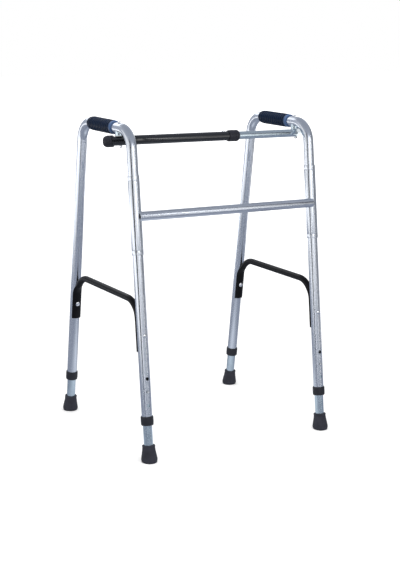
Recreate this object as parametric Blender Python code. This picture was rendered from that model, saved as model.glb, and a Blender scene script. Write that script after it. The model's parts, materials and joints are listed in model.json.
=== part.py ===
"""Folding walker: two side frames that swing on the uprights of a front crossbar.

The front faces -Y, the user stands at +Y, and the feet rest on Z = 0. Lengths are in metres.
Each side frame turns about its own front leg, inside a sleeve of the crossbar. A telescoping
bar joins the two frames behind those axes and locks them open with a sprung button.
"""

import math

import bmesh
import bpy
from mathutils import Matrix, Vector

# Fits: what slides or seats on another piece stays this far from it
GAP = 0.0003
LOOSE = 0.0005

# Stance, measured between the leg axes
TRACK = 0.500
BASE_DEPTH = 0.440
FRONT_LEAN = math.radians(7.65)
REAR_LEAN = math.radians(6.20)
GRIP_HEIGHT = 0.772

# Side frame tube
TUBE_OD = 0.0254
TUBE_WALL = 0.0012
TUBE_BEND = 0.052
TUBE_END = 0.0945

# Leg extension, in distances along the leg from the floor
INNER_OD = 0.0220
INNER_WALL = 0.0012
INNER_TOP = 0.190
BUTTON_AT = 0.1685
HOLE_PITCH = 0.0320
HOLE_R = 0.0042

# Rubber foot
FOOT_HEIGHT = 0.0402
FOOT_SOLE_R = 0.0182
FOOT_WIDE_R = 0.0198
FOOT_WIDE_AT = 0.0060
FOOT_NECK_R = 0.0142
FOOT_EDGE = 0.0006
FOOT_SHOULDER_SHARE = 0.62
FOOT_NECK_SHARE = 0.85
FOOT_SOLE = 0.0090

# Bush at the lower end of the frame tube
BUSH_R = 0.0153
BUSH_BOTTOM = 0.0885
BUSH_TOP = 0.1100
BUSH_EDGE = 0.0012

# Crossbar, its sleeves and the rings that hold the sleeves on the front legs
CROSS_OD = 0.0222
CROSS_WALL = 0.0012
CROSS_SET = 0.0085
CROSS_SHORT = 0.0040
CROSS_RISE = 0.0737
SLEEVE_WALL = 0.0012
SLEEVE_DROP = 0.1080
SLEEVE_LENGTH = 0.1610
SLEEVE_TOP = GRIP_HEIGHT - SLEEVE_DROP
SLEEVE_BOTTOM = SLEEVE_TOP - SLEEVE_LENGTH
CROSS_HEIGHT = SLEEVE_BOTTOM + CROSS_RISE
RING_LENGTH = 0.0110

# Pivot of the telescoping bar, just behind the front bend and under the top run
PIVOT_SET = 0.0513
PIVOT_DROP = 0.0286
PIVOT_BACK = GRIP_HEIGHT * math.tan(FRONT_LEAN) + PIVOT_SET
PIVOT_HEIGHT = GRIP_HEIGHT - PIVOT_DROP

# Grip
GRIP_R = 0.0170
GRIP_GAP = 0.0250
GRIP_FRONT = PIVOT_BACK + GRIP_GAP
GRIP_LENGTH = 0.128
GRIP_RIBS = 12
GRIP_RIB_DEPTH = 0.0007
GRIP_REAR_CHAMFER = 0.0050
GRIP_FRONT_CHAMFER = 0.0020

# Side brace
BRACE_OD = 0.0160
BRACE_WALL = 0.0010
BRACE_TOP = 0.375
BRACE_BEND = 0.055
BRACE_END = 0.2630
BRACE_FLAT = 0.0030
BRACE_FLAT_WALL = 0.0012
BRACE_WRAP = math.radians(52.0)
SCREW_AT = 0.3025

# Bolts and nuts
BOLT_R = 0.0025
BOLT_HEAD_R = 0.0048
BOLT_HEAD_H = 0.0026
BOLT_SPARE = 0.0018
NUT_R = 0.0046
NUT_H = 0.0040
NUT_SIDES = 6

# Telescoping bar
BAR_OD = 0.0222
BAR_WALL = 0.0012
BAR_INNER_WALL = 0.0012
BAR_SET = 0.0272
BAR_BEND = 0.048
BAR_TURN = math.radians(45.0)
BAR_TAIL = 0.038
BAR_MOUTH = 0.0540
BAR_INNER_END = -0.0750
BAR_BUTTON_AT = 0.0170
COLLAR_R = 0.0140
COLLAR_LENGTH = 0.0290
COLLAR_LIP = 0.0040
COLLAR_EDGE = 0.0030
CAP_LENGTH = 0.0240
CAP_END = 0.0035
CAP_EDGE = 0.0015
CAP_ROUNDING = 0.0060
PLUG_HEAD = 0.0030
PLUG_EDGE = 0.0008
PLUG_DEPTH = 0.0090
GUIDE_LENGTH = 0.0200
SADDLE_R = 0.0118
SADDLE_WRAP = 0.0080
LEFT_TIP = 0.0189
RIGHT_TIP = 0.0152

# Sprung buttons
LEAF_THICK = 0.0008
LEAF_BEND = 0.0016
LEAF_WIDTH = 0.0066
LEAF_LENGTH = 0.0300
BUTTON_PROUD = 0.0026

# Facets round a circle
SIDES = 16
BAR_SIDES = 14
SMALL_SIDES = 10
SHARP_ANGLE = math.radians(35)
TUBE_BEND_STEPS = 7
BRACE_BEND_STEPS = 7
BAR_BEND_STEPS = 5
LEAF_BEND_STEPS = 3

LEFT, RIGHT = -1, 1
TUBE_R = TUBE_OD / 2
INNER_R = INNER_OD / 2
BRACE_R = BRACE_OD / 2
BAR_R = BAR_OD / 2
BAR_INNER_R = BAR_R - BAR_WALL - GAP
X_AXIS = Vector((1, 0, 0))
Z_AXIS = Vector((0, 0, 1))


def clear_scene():
    for item in list(bpy.data.objects):
        bpy.data.objects.remove(item, do_unlink=True)


def make_material(name, colour, roughness, metallic):
    made = bpy.data.materials.new(name)
    made.use_nodes = True
    shader = made.node_tree.nodes["Principled BSDF"]
    shader.inputs["Base Color"].default_value = (*colour, 1.0)
    shader.inputs["Roughness"].default_value = roughness
    shader.inputs["Metallic"].default_value = metallic
    return made


def make_materials():
    return {
        "aluminium": make_material("anodised_aluminium", (0.72, 0.74, 0.78), 0.24, 1.0),
        "zinc": make_material("zinc_plated_steel", (0.58, 0.63, 0.68), 0.30, 1.0),
        "steel": make_material("bright_steel", (0.76, 0.77, 0.78), 0.18, 1.0),
        "black_paint": make_material("gloss_black_paint", (0.012, 0.012, 0.015), 0.28, 0.0),
        "satin_paint": make_material("satin_black_paint", (0.018, 0.018, 0.020), 0.48, 0.0),
        "plastic": make_material("black_plastic", (0.020, 0.020, 0.023), 0.55, 0.0),
        "rubber": make_material("charcoal_rubber", (0.030, 0.031, 0.034), 0.70, 0.0),
        "vinyl": make_material("navy_vinyl", (0.012, 0.017, 0.036), 0.42, 0.0),
    }


# Frames of reference

def make_frame(name, place, tilt, parent=None):
    """An empty that pieces hang from, turned about X by the tilt."""
    frame = bpy.data.objects.new(name, None)
    frame.empty_display_size = 0.03
    frame.location = place
    frame.rotation_euler = (tilt, 0, 0)
    frame.parent = parent
    bpy.context.collection.objects.link(frame)
    return frame


class SideFrames:
    """The fold axis of one side frame and the legs and pivot that are placed from it."""

    def __init__(self, side):
        self.side = side
        self.word = "left" if side == LEFT else "right"
        place = (side * TRACK / 2, -BASE_DEPTH / 2, 0)
        self.fold = make_frame(self.word + "_fold_axis", place, 0)
        self.front = make_frame(self.word + "_front_leg_axis", (0, 0, 0), -FRONT_LEAN, self.fold)
        self.rear = make_frame(self.word + "_rear_leg_axis", (0, BASE_DEPTH, 0), REAR_LEAN, self.fold)
        pivot = (0, PIVOT_BACK, PIVOT_HEIGHT)
        self.pivot = make_frame(self.word + "_bar_pivot", pivot, -FRONT_LEAN, self.fold)

    def legs(self):
        """Name, frame, lean and outward direction of each of the two legs."""
        front = (self.word + "_front", self.front, FRONT_LEAN, -1)
        rear = (self.word + "_rear", self.rear, REAR_LEAN, 1)
        return front, rear


def leg_spot(leg, along, inward):
    """Point in the side frame at a distance along a leg and inward from its axis."""
    lean = FRONT_LEAN if leg == "front" else REAR_LEAN
    towards = 1 if leg == "front" else -1
    foot = 0 if leg == "front" else BASE_DEPTH
    y = foot + towards * (along * math.sin(lean) + inward * math.cos(lean))
    z = along * math.cos(lean) - inward * math.sin(lean)
    return Vector((0, y, z))


def leg_at_height(leg, height, inward):
    """The same point, given its height instead of its distance along the leg."""
    lean = FRONT_LEAN if leg == "front" else REAR_LEAN
    along = (height + inward * math.sin(lean)) / math.cos(lean)
    return leg_spot(leg, along, inward)


def inward_of(leg, point):
    """Distance of a point inward from a leg's axis."""
    axis_point = leg_spot(leg, 0, 0)
    inward = leg_spot(leg, 0, 1) - axis_point
    return (point - axis_point).dot(inward)


# Mesh building

def finish(bm, name, frame, material):
    """Close a mesh into a named object that hangs from its frame."""
    bmesh.ops.recalc_face_normals(bm, faces=bm.faces[:])
    mesh = bpy.data.meshes.new(name)
    bm.to_mesh(mesh)
    bm.free()
    mesh.materials.append(material)
    mesh.shade_smooth()
    mesh.set_sharp_from_angle(angle=SHARP_ANGLE)
    made = bpy.data.objects.new(name, mesh)
    made.parent = frame
    bpy.context.collection.objects.link(made)
    return made


def bore(radius, sides):
    """Corner radius of a faceted hole whose flats lie at the given radius."""
    return radius / math.cos(math.pi / sides)


def turned(name, profile, frame, material, sides=SIDES, turn=None, reshape=None):
    """Turn an outline of (radius, height) points once round the local Z axis.

    An outline that starts and ends on the axis makes a solid, any other closes into a ring.
    """
    bm = bmesh.new()
    points = [bm.verts.new((radius, 0, height)) for radius, height in profile]
    on_axis = profile[0][0] == 0 and profile[-1][0] == 0
    pairs = list(zip(points, points[1:]))
    if not on_axis:
        pairs.append((points[-1], points[0]))
    edges = [bm.edges.new(pair) for pair in pairs]
    bmesh.ops.spin(bm, geom=points + edges, cent=(0, 0, 0), axis=(0, 0, 1),
                   angle=2 * math.pi, steps=sides, use_merge=False)
    bmesh.ops.remove_doubles(bm, verts=bm.verts[:], dist=1e-6)
    if reshape:
        reshape(bm)
    if turn:
        bmesh.ops.transform(bm, matrix=turn, verts=bm.verts[:])
    return finish(bm, name, frame, material)


def rounded_path(corners, radius, steps):
    """Points and directions along straight runs whose inner corners are bent to a radius."""
    stations = [(corners[0], (corners[1] - corners[0]).normalized())]
    for before, corner, after in zip(corners, corners[1:], corners[2:]):
        ahead = (corner - before).normalized()
        leave = (after - corner).normalized()
        turn = ahead.angle(leave)
        inside = (leave - ahead * leave.dot(ahead)).normalized()
        start = corner - ahead * radius * math.tan(turn / 2)
        centre = start + inside * radius
        for step in range(steps + 1):
            angle = turn * step / steps
            offset = ahead * math.sin(angle) - inside * math.cos(angle)
            heading = ahead * math.cos(angle) + inside * math.sin(angle)
            stations.append((centre + offset * radius, heading))
    stations.append((corners[-1], (corners[-1] - corners[-2]).normalized()))
    return stations


def circle(radius, sides):
    angles = [2 * math.pi * step / sides for step in range(sides)]
    return [(radius * math.cos(angle), radius * math.sin(angle)) for angle in angles]


def ring_at(bm, station, across, outline):
    """Corners of one cross-section, across the path's plane and along its normal."""
    point, heading = station
    normal = across.cross(heading)
    return [bm.verts.new(point + across * a + normal * b) for a, b in outline]


def skin(bm, rings):
    """Quads between each cross-section and the next."""
    for ring, following in zip(rings, rings[1:]):
        corners = zip(ring, ring[1:] + ring[:1], following[1:] + following[:1], following)
        for face in corners:
            bm.faces.new(face)


def swept_solid(name, stations, across, outline, frame, material):
    bm = bmesh.new()
    rings = [ring_at(bm, station, across, outline) for station in stations]
    skin(bm, rings)
    bm.faces.new(rings[0])
    bm.faces.new(rings[-1])
    return finish(bm, name, frame, material)


def swept_tube(name, stations, across, outlines, frame, material):
    """A tube, open at both ends, from one pair of outer and inner outlines per station."""
    bm = bmesh.new()
    outer = [ring_at(bm, station, across, pair[0]) for station, pair in zip(stations, outlines)]
    inner = [ring_at(bm, station, across, pair[1]) for station, pair in zip(stations, outlines)]
    skin(bm, outer)
    skin(bm, inner)
    skin(bm, [outer[0], inner[0]])
    skin(bm, [outer[-1], inner[-1]])
    return finish(bm, name, frame, material)


def round_tube(name, stations, across, radius, wall, frame, material, sides=SIDES):
    pair = (circle(radius, sides), circle(bore(radius - wall, sides), sides))
    return swept_tube(name, stations, across, [pair] * len(stations), frame, material)


def straight_tube(name, start, end, radius, wall, frame, material, sides=SIDES):
    heading = (end - start).normalized()
    across = X_AXIS if abs(heading.x) < 0.5 else Z_AXIS
    stations = [(start, heading), (end, heading)]
    return round_tube(name, stations, across, radius, wall, frame, material, sides)


# Cutting and joining

def hide_helper(helper):
    helper.display_type = "WIRE"
    helper.hide_render = True


def drill(target, frame, start, end, radius, sides=SMALL_SIDES):
    """Cut a round hole between two points of a frame."""
    along = end - start
    turn = along.to_track_quat("Z", "Y").to_matrix().to_4x4()
    bm = bmesh.new()
    bmesh.ops.create_cone(bm, cap_ends=True, segments=sides, radius1=bore(radius, sides),
                          radius2=bore(radius, sides), depth=along.length,
                          matrix=Matrix.Translation((start + end) / 2) @ turn)
    count = len(target.modifiers)
    cutter = finish(bm, f"cut_{target.name}_{count}", frame, target.data.materials[0])
    hide_helper(cutter)
    combine(target, cutter, "DIFFERENCE")


def combine(target, helper, operation):
    modifier = target.modifiers.new(operation.lower(), "BOOLEAN")
    modifier.operation = operation
    modifier.solver = "EXACT"
    modifier.object = helper


# Side frame

def frame_path():
    """Centre line of the bent tube: up the front leg, along the grip and down the rear leg."""
    corners = [
        leg_spot("front", TUBE_END, 0),
        leg_at_height("front", GRIP_HEIGHT, 0),
        leg_at_height("rear", GRIP_HEIGHT, 0),
        leg_spot("rear", TUBE_END, 0),
    ]
    return rounded_path(corners, TUBE_BEND, TUBE_BEND_STEPS)


def frame_tube(sides, materials):
    name = sides.word + "_frame_tube"
    tube = round_tube(name, frame_path(), X_AXIS, TUBE_R, TUBE_WALL, sides.fold,
                      materials["aluminium"])
    for _, frame, _, outward in sides.legs():
        drill_leg_holes(tube, frame, outward)
        reach = Vector((0, TUBE_OD, 0))
        spot = Vector((0, 0, SCREW_AT))
        drill(tube, frame, spot - reach, spot + reach, BOLT_R + GAP)
    drill(tube, sides.pivot, Vector((0, 0, BAR_R)), Vector((0, 0, 3 * TUBE_OD)), BOLT_R + GAP)
    return tube


def drill_leg_holes(tube, frame, outward):
    """The three height holes, in the leg's outward wall only."""
    for step in (-1, 0, 1):
        height = BUTTON_AT + step * HOLE_PITCH
        inside = Vector((0, 0, height))
        outside = Vector((0, outward * TUBE_OD, height))
        drill(tube, frame, inside, outside, HOLE_R)


def grip(sides, materials):
    """Ribbed vinyl sleeve on the top run, with a long chamfer at its rear end."""
    inside = bore(TUBE_R + GAP, SIDES)
    valley = GRIP_R - GRIP_RIB_DEPTH
    ribbed = GRIP_LENGTH - GRIP_FRONT_CHAMFER - GRIP_REAR_CHAMFER
    pitch = ribbed / GRIP_RIBS
    profile = [(inside, 0), (GRIP_R - GRIP_FRONT_CHAMFER, 0), (GRIP_R, GRIP_FRONT_CHAMFER)]
    for rib in range(1, GRIP_RIBS):
        middle = GRIP_FRONT_CHAMFER + rib * pitch
        profile += [(GRIP_R, middle - pitch / 4), (valley, middle)]
    profile.append((GRIP_R, GRIP_LENGTH - GRIP_REAR_CHAMFER))
    profile.append((GRIP_R - GRIP_REAR_CHAMFER / 2, GRIP_LENGTH))
    profile.append((inside, GRIP_LENGTH))
    start = Matrix.Translation((0, GRIP_FRONT, GRIP_HEIGHT))
    lie_back = start @ Matrix.Rotation(-math.pi / 2, 4, "X")
    return turned(sides.word + "_grip", profile, sides.fold, materials["vinyl"], turn=lie_back)


def stop_rings(sides, materials):
    """Rings fixed on the front leg just above and below the crossbar's sleeve."""
    places = {
        "_lower_ring": SLEEVE_BOTTOM - GAP - RING_LENGTH,
        "_upper_ring": SLEEVE_TOP + GAP,
    }
    for ending, start in places.items():
        profile = hoop(TUBE_R + GAP, TUBE_R + GAP + SLEEVE_WALL, start, start + RING_LENGTH)
        turned(sides.word + ending, profile, sides.front, materials["aluminium"])


def hoop(inside, outside, low, high, sides=SIDES):
    """Outline of a plain ring, its bore kept clear of a round piece of the inside radius."""
    clear = bore(inside, sides)
    return [(clear, low), (outside, low), (outside, high), (clear, high)]


# Brace

def brace_outline(blend, inset, sides=BAR_SIDES):
    """Cross-section of the brace: round at blend 0, a crescent round the leg at blend 1.

    The second coordinate is measured from the path, which runs midway through the crescent.
    """
    offset = TUBE_R + GAP + BRACE_FLAT / 2
    outer = TUBE_R + GAP + BRACE_FLAT - inset * BRACE_FLAT_WALL
    inner = TUBE_R + GAP + inset * BRACE_FLAT_WALL
    wrap = BRACE_WRAP - inset * BRACE_FLAT_WALL / inner
    radius = BRACE_R - inset * BRACE_WALL
    points = []
    for step in range(sides):
        angle = 2 * math.pi * (step + 0.5) / sides
        reach = outer if math.cos(angle) > 0 else inner
        swing = wrap * math.sin(angle) / math.cos(math.pi / sides)
        round_spot = (radius * math.sin(angle), radius * math.cos(angle))
        flat_spot = (reach * math.sin(swing), reach * math.cos(swing) - offset)
        points.append([a + blend * (b - a) for a, b in zip(round_spot, flat_spot)])
    return points


def flat_share(lift):
    """How far the tube is pressed flat where its centre line has left the leg by the lift."""
    return max(0.0, 1.0 - lift / (BRACE_R - BRACE_FLAT / 2))


def brace(sides, materials):
    """Inverted U between the legs, its ends pressed into crescents that hug them."""
    offset = TUBE_R + GAP + BRACE_FLAT / 2
    corners = [
        leg_spot("front", BRACE_END, offset),
        leg_at_height("front", BRACE_TOP, offset),
        leg_at_height("rear", BRACE_TOP, offset),
        leg_spot("rear", BRACE_END, offset),
    ]
    stations = rounded_path(corners, BRACE_BEND, BRACE_BEND_STEPS)
    outlines = []
    for point, _ in stations:
        lift = min(inward_of("front", point), inward_of("rear", point)) - offset
        blend = flat_share(lift)
        outlines.append((brace_outline(blend, 0), brace_outline(blend, 1)))
    made = swept_tube(sides.word + "_brace", stations, -X_AXIS, outlines, sides.fold,
                      materials["satin_paint"])
    for _, frame, _, outward in sides.legs():
        spot = Vector((0, 0, SCREW_AT))
        reach = Vector((0, -outward * (TUBE_R + 3 * BRACE_FLAT), 0))
        drill(made, frame, spot, spot + reach, BOLT_R + GAP)
    return made


def bolt_profile(length):
    """Dome-headed bolt along +Z, with the head's seat at zero and its crown below."""
    crown = [(0, -BOLT_HEAD_H)]
    crown.append((0.5 * BOLT_HEAD_R, -0.87 * BOLT_HEAD_H))
    crown.append((0.87 * BOLT_HEAD_R, -0.5 * BOLT_HEAD_H))
    shank = [(BOLT_HEAD_R, 0), (BOLT_R, 0), (BOLT_R, length - BOLT_R / 2)]
    return crown + shank + [(BOLT_R / 2, length), (0, length)]


def nut_profile(start):
    inside = bore(BOLT_R + GAP, NUT_SIDES)
    return [(inside, start), (NUT_R, start), (NUT_R, start + NUT_H), (inside, start + NUT_H)]


def brace_bolts(sides, materials):
    """Through bolts with their domed heads to the front, one in each leg."""
    for name, frame, _, outward in sides.legs():
        flat = BRACE_FLAT + GAP
        ahead = TUBE_R + GAP + (flat if outward > 0 else 0)
        behind = TUBE_R + GAP + (0 if outward > 0 else flat)
        back = Matrix.Translation((0, -ahead, SCREW_AT)) @ Matrix.Rotation(-math.pi / 2, 4, "X")
        nut_start = ahead + behind
        length = nut_start + NUT_H + BOLT_SPARE
        steel = materials["steel"]
        turned(name + "_brace_bolt", bolt_profile(length), frame, steel, SMALL_SIDES, back)
        turned(name + "_brace_nut", nut_profile(nut_start), frame, steel, NUT_SIDES, back)


# Legs

def foot(name, frame, tilt, materials):
    """Bell-shaped rubber foot with a blind socket, its sole flat on the floor."""
    socket = bore(INNER_R + GAP, SIDES)
    shoulder = (3 * FOOT_NECK_R + FOOT_WIDE_R) / 4
    profile = [
        (0, 0),
        (FOOT_SOLE_R, 0),
        (FOOT_WIDE_R, FOOT_WIDE_AT),
        (FOOT_WIDE_R - FOOT_EDGE, 1.7 * FOOT_WIDE_AT),
        (shoulder, FOOT_SHOULDER_SHARE * FOOT_HEIGHT),
        (FOOT_NECK_R, FOOT_NECK_SHARE * FOOT_HEIGHT),
        (FOOT_NECK_R - FOOT_EDGE, FOOT_HEIGHT),
        (socket, FOOT_HEIGHT),
        (socket, FOOT_SOLE),
        (0, FOOT_SOLE),
    ]

    def lie_flat(bm):
        for vert in bm.verts:
            if vert.co.z < GAP:
                vert.co.z = -vert.co.y * math.tan(tilt)

    return turned(name + "_foot", profile, frame, materials["rubber"], reshape=lie_flat)


def bush(name, frame, materials):
    """Collar over the end of the frame tube, necked to guide the inner tube."""
    over_tube = bore(TUBE_R + GAP, SIDES)
    round_inner = bore(INNER_R + GAP, SIDES)
    profile = [
        (round_inner, BUSH_BOTTOM),
        (BUSH_R - BUSH_EDGE, BUSH_BOTTOM),
        (BUSH_R, BUSH_BOTTOM + BUSH_EDGE),
        (BUSH_R, BUSH_TOP - BUSH_EDGE),
        (BUSH_R - BUSH_EDGE, BUSH_TOP),
        (over_tube, BUSH_TOP),
        (over_tube, TUBE_END - GAP),
        (round_inner, TUBE_END - GAP),
    ]
    return turned(name + "_bush", profile, frame, materials["plastic"])


def inner_leg(name, frame, outward, materials):
    start = Vector((0, 0, FOOT_SOLE + GAP))
    end = Vector((0, 0, INNER_TOP))
    tube = straight_tube(name + "_inner_tube", start, end, INNER_R, INNER_WALL, frame,
                         materials["zinc"])
    spot = Vector((0, 0, BUTTON_AT))
    drill(tube, frame, spot, spot + Vector((0, outward * TUBE_OD, 0)), HOLE_R)
    return tube


def spring_clip(name, frame, material, spot, facing, along, inside, outside, button_r):
    """A leaf folded in a V inside a tube, with a domed button out through the wall.

    The clip lies in the plane of the two unit vectors facing and along. Inside is the bore
    that the leaf springs against, and outside is the surface that the button passes.
    """
    half = LEAF_WIDTH / 2
    arm = math.sqrt(inside ** 2 - half ** 2) - GAP - LEAF_THICK / 2
    across = along.cross(facing)
    corners = [
        spot + facing * arm + along * 1.6 * button_r,
        spot + facing * arm - along * 1.8 * button_r,
        spot - along * LEAF_LENGTH,
        spot - facing * arm - along * 1.2 * button_r,
    ]
    thick = LEAF_THICK / 2
    outline = [(half, thick), (-half, thick), (-half, -thick), (half, -thick)]
    stations = rounded_path(corners, LEAF_BEND, LEAF_BEND_STEPS)
    leaf = swept_solid(name, stations, across, outline, frame, material)
    proud = outside + BUTTON_PROUD
    profile = [
        (0, arm),
        (button_r, arm),
        (button_r, proud - 0.6 * button_r),
        (0.8 * button_r, proud - 0.25 * button_r),
        (0.4 * button_r, proud - 0.05 * button_r),
        (0, proud),
    ]
    turn = Matrix.Translation(spot) @ facing.to_track_quat("Z", "Y").to_matrix().to_4x4()
    button = turned(name + "_button", profile, frame, material, SMALL_SIDES, turn)
    hide_helper(button)
    combine(leaf, button, "UNION")
    return leaf


def leg_parts(sides, materials):
    for name, frame, lean, outward in sides.legs():
        tilt = outward * lean
        foot(name, frame, tilt, materials)
        bush(name, frame, materials)
        inner_leg(name, frame, outward, materials)
        spring_clip(name + "_clip", frame, materials["steel"], Vector((0, 0, BUTTON_AT)),
                    Vector((0, outward, 0)), Z_AXIS, INNER_R - INNER_WALL, TUBE_R, HOLE_R - LOOSE)


# Crossbar

def sleeve(sides, materials):
    start = Vector((0, 0, SLEEVE_BOTTOM))
    end = Vector((0, 0, SLEEVE_TOP))
    radius = TUBE_R + GAP + SLEEVE_WALL
    straight_tube(sides.word + "_sleeve", start, end, radius, SLEEVE_WALL, sides.front,
                  materials["aluminium"])


def crossbar(left, right, materials):
    """Tube across the front of the sleeves, cut away where it laps round each of them."""
    y = leg_at_height("front", CROSS_HEIGHT, 0).y - BASE_DEPTH / 2 - CROSS_SET
    end = Vector((TRACK / 2 - CROSS_SHORT, y, CROSS_HEIGHT))
    start = Vector((CROSS_SHORT - TRACK / 2, y, CROSS_HEIGHT))
    bar = straight_tube("crossbar", start, end, CROSS_OD / 2, CROSS_WALL, None,
                        materials["aluminium"])
    radius = TUBE_R + 2 * GAP + SLEEVE_WALL
    for sides in (left, right):
        low = Vector((0, 0, SLEEVE_BOTTOM))
        high = Vector((0, 0, SLEEVE_TOP))
        drill(bar, sides.front, low, high, radius, 2 * SIDES)
    return bar


# Telescoping bar

def bar_path(side, run_end, tail):
    """Centre line from the straight run, bent back through the pivot, to the tail's end."""
    corner_x = -BAR_SET / math.tan(BAR_TURN)
    corners = [
        Vector((run_end, -BAR_SET, 0)),
        Vector((side * corner_x, -BAR_SET, 0)),
        Vector((side * tail * math.cos(BAR_TURN), tail * math.sin(BAR_TURN), 0)),
    ]
    return rounded_path(corners, BAR_BEND, BAR_BEND_STEPS)


def along_run(place):
    """Matrix at a place along the bar's straight run, with +Z along the run."""
    return Matrix.Translation((place, -BAR_SET, 0)) @ Matrix.Rotation(math.pi / 2, 4, "Y")


def tail_frame(side, distance):
    """Matrix at a distance past the pivot, with +Z out along the tail."""
    heading = Vector((side * math.cos(BAR_TURN), math.sin(BAR_TURN), 0))
    turn = heading.to_track_quat("Z", "Y").to_matrix().to_4x4()
    return Matrix.Translation(heading * distance) @ turn


def outer_bar(left, materials):
    """Gloss black tube with its collar, end cap and the bolt's lower half."""
    run_end = TRACK / 2 + BAR_MOUTH
    path = bar_path(LEFT, run_end, BAR_TAIL)
    tube = round_tube("bar_outer_tube", path, Z_AXIS, BAR_R, BAR_WALL, left.pivot,
                      materials["black_paint"], BAR_SIDES)
    drill(tube, left.pivot, Vector((0, 0, -BAR_OD)), Vector((0, 0, BAR_OD)), BOLT_R + GAP)
    button = Vector((TRACK / 2 + BAR_BUTTON_AT, -BAR_SET, 0))
    drill(tube, left.pivot, button, button + Z_AXIS * BAR_OD, HOLE_R)
    collar(left, run_end, materials)
    outer_cap(left, materials)
    half_bolt = [(0, -LEFT_TIP), (BOLT_R / 2, -LEFT_TIP + BOLT_R / 3), (BOLT_R, -LEFT_TIP + BOLT_R)]
    half_bolt += [(BOLT_R, BAR_R - GAP), (0, BAR_R - GAP)]
    steel = materials["steel"]
    turned("left_pivot_stud", half_bolt, left.pivot, steel, SMALL_SIDES)
    turned("left_pivot_nut", nut_profile(-BAR_R - GAP - NUT_H), left.pivot, steel, NUT_SIDES)


def collar(left, run_end, materials):
    """Plastic collar over the mouth of the outer tube, lipped to guide the inner one."""
    over_tube = bore(BAR_R + GAP, SIDES)
    round_inner = bore(BAR_INNER_R + GAP, SIDES)
    high = COLLAR_LIP
    low = COLLAR_LIP - COLLAR_LENGTH
    profile = [
        (over_tube, low),
        (COLLAR_R - COLLAR_EDGE / 2, low),
        (COLLAR_R, low + COLLAR_EDGE),
        (COLLAR_R, high - COLLAR_EDGE),
        (COLLAR_R - 0.4 * COLLAR_EDGE, high - 0.3 * COLLAR_EDGE),
        (COLLAR_R - COLLAR_EDGE, high),
        (round_inner, high),
        (round_inner, GAP),
        (over_tube, GAP),
    ]
    return turned("bar_collar", profile, left.pivot, materials["plastic"], turn=along_run(run_end))


def outer_cap(left, materials):
    """Rounded cup over the tail end of the outer tube."""
    over_tube = bore(BAR_R + GAP, SIDES)
    end = CAP_END + GAP
    profile = [
        (0, GAP),
        (over_tube, GAP),
        (over_tube, end - CAP_LENGTH),
        (COLLAR_R - CAP_EDGE / 2, end - CAP_LENGTH),
        (COLLAR_R, end - CAP_LENGTH + CAP_EDGE),
        (COLLAR_R, end - CAP_ROUNDING),
        (COLLAR_R - 0.3 * CAP_ROUNDING, end - 0.3 * CAP_ROUNDING),
        (COLLAR_R - CAP_ROUNDING, end),
        (0, end),
    ]
    return turned("bar_outer_cap", profile, left.pivot, materials["plastic"],
                  turn=tail_frame(LEFT, BAR_TAIL))


def inner_bar(right, materials):
    """Zinc plated tube that slides in the black one, with its plug, guide and button."""
    run_end = BAR_INNER_END - TRACK / 2
    tail = BAR_TAIL + COLLAR_R - BAR_INNER_R - CAP_ROUNDING / 2
    path = bar_path(RIGHT, run_end, tail)
    tube = round_tube("bar_inner_tube", path, Z_AXIS, BAR_INNER_R, BAR_INNER_WALL, right.pivot,
                      materials["zinc"], BAR_SIDES)
    drill(tube, right.pivot, Vector((0, 0, -BAR_OD)), Vector((0, 0, BAR_OD)), BOLT_R + GAP)
    button = Vector((BAR_BUTTON_AT - TRACK / 2, -BAR_SET, 0))
    drill(tube, right.pivot, button, button + Z_AXIS * BAR_OD, HOLE_R)
    inside = BAR_INNER_R - BAR_INNER_WALL
    plug(right, tail, inside, materials)
    guide = [(0, 0), (inside - GAP, 0), (inside - GAP, GUIDE_LENGTH), (0, GUIDE_LENGTH)]
    turned("bar_guide_plug", guide, right.pivot, materials["plastic"], BAR_SIDES,
           along_run(run_end + GAP))
    spring_clip("bar_clip", right.pivot, materials["steel"], button, Z_AXIS, -X_AXIS, inside, BAR_R,
                HOLE_R - LOOSE)
    return tube


def plug(right, tail, inside, materials):
    """Flanged plug in the tail end of the inner tube."""
    profile = [
        (0, -PLUG_DEPTH),
        (inside - GAP, -PLUG_DEPTH),
        (inside - GAP, GAP),
        (BAR_INNER_R, GAP),
        (BAR_INNER_R, PLUG_HEAD),
        (BAR_INNER_R - PLUG_EDGE, PLUG_HEAD + PLUG_EDGE),
        (0, PLUG_HEAD + PLUG_EDGE),
    ]
    return turned("bar_inner_cap", profile, right.pivot, materials["plastic"], BAR_SIDES,
                  tail_frame(RIGHT, tail))


def run_axis_rise():
    """Distance from the bar's axis up the bolt to the axis of the frame's top run."""
    return (GRIP_HEIGHT - PIVOT_HEIGHT) / math.cos(FRONT_LEAN)


def saddle(sides, bar_radius, materials):
    """Washer between the frame tube and the bar, hollowed to fit under the tube."""
    seat = bar_radius + GAP
    top = run_axis_rise() - TUBE_R + SADDLE_WRAP
    profile = [(0, seat), (SADDLE_R, seat), (SADDLE_R, top), (0, top)]
    made = turned(sides.word + "_pivot_saddle", profile, sides.pivot, materials["zinc"])
    start = Vector((0, PIVOT_BACK - 2 * SADDLE_R, GRIP_HEIGHT))
    end = Vector((0, PIVOT_BACK + 2 * SADDLE_R, GRIP_HEIGHT))
    drill(made, sides.fold, start, end, TUBE_R + GAP, 2 * SIDES)
    drill(made, sides.pivot, Vector((0, 0, 0)), Vector((0, 0, BAR_OD)), BOLT_R + GAP)
    return made


def head_seat():
    """Height up the bolt where the head clears the sloping crown of the top run."""
    crown = run_axis_rise() + (TUBE_R + GAP) / math.cos(FRONT_LEAN)
    return crown + BOLT_HEAD_R * math.tan(FRONT_LEAN)


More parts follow.
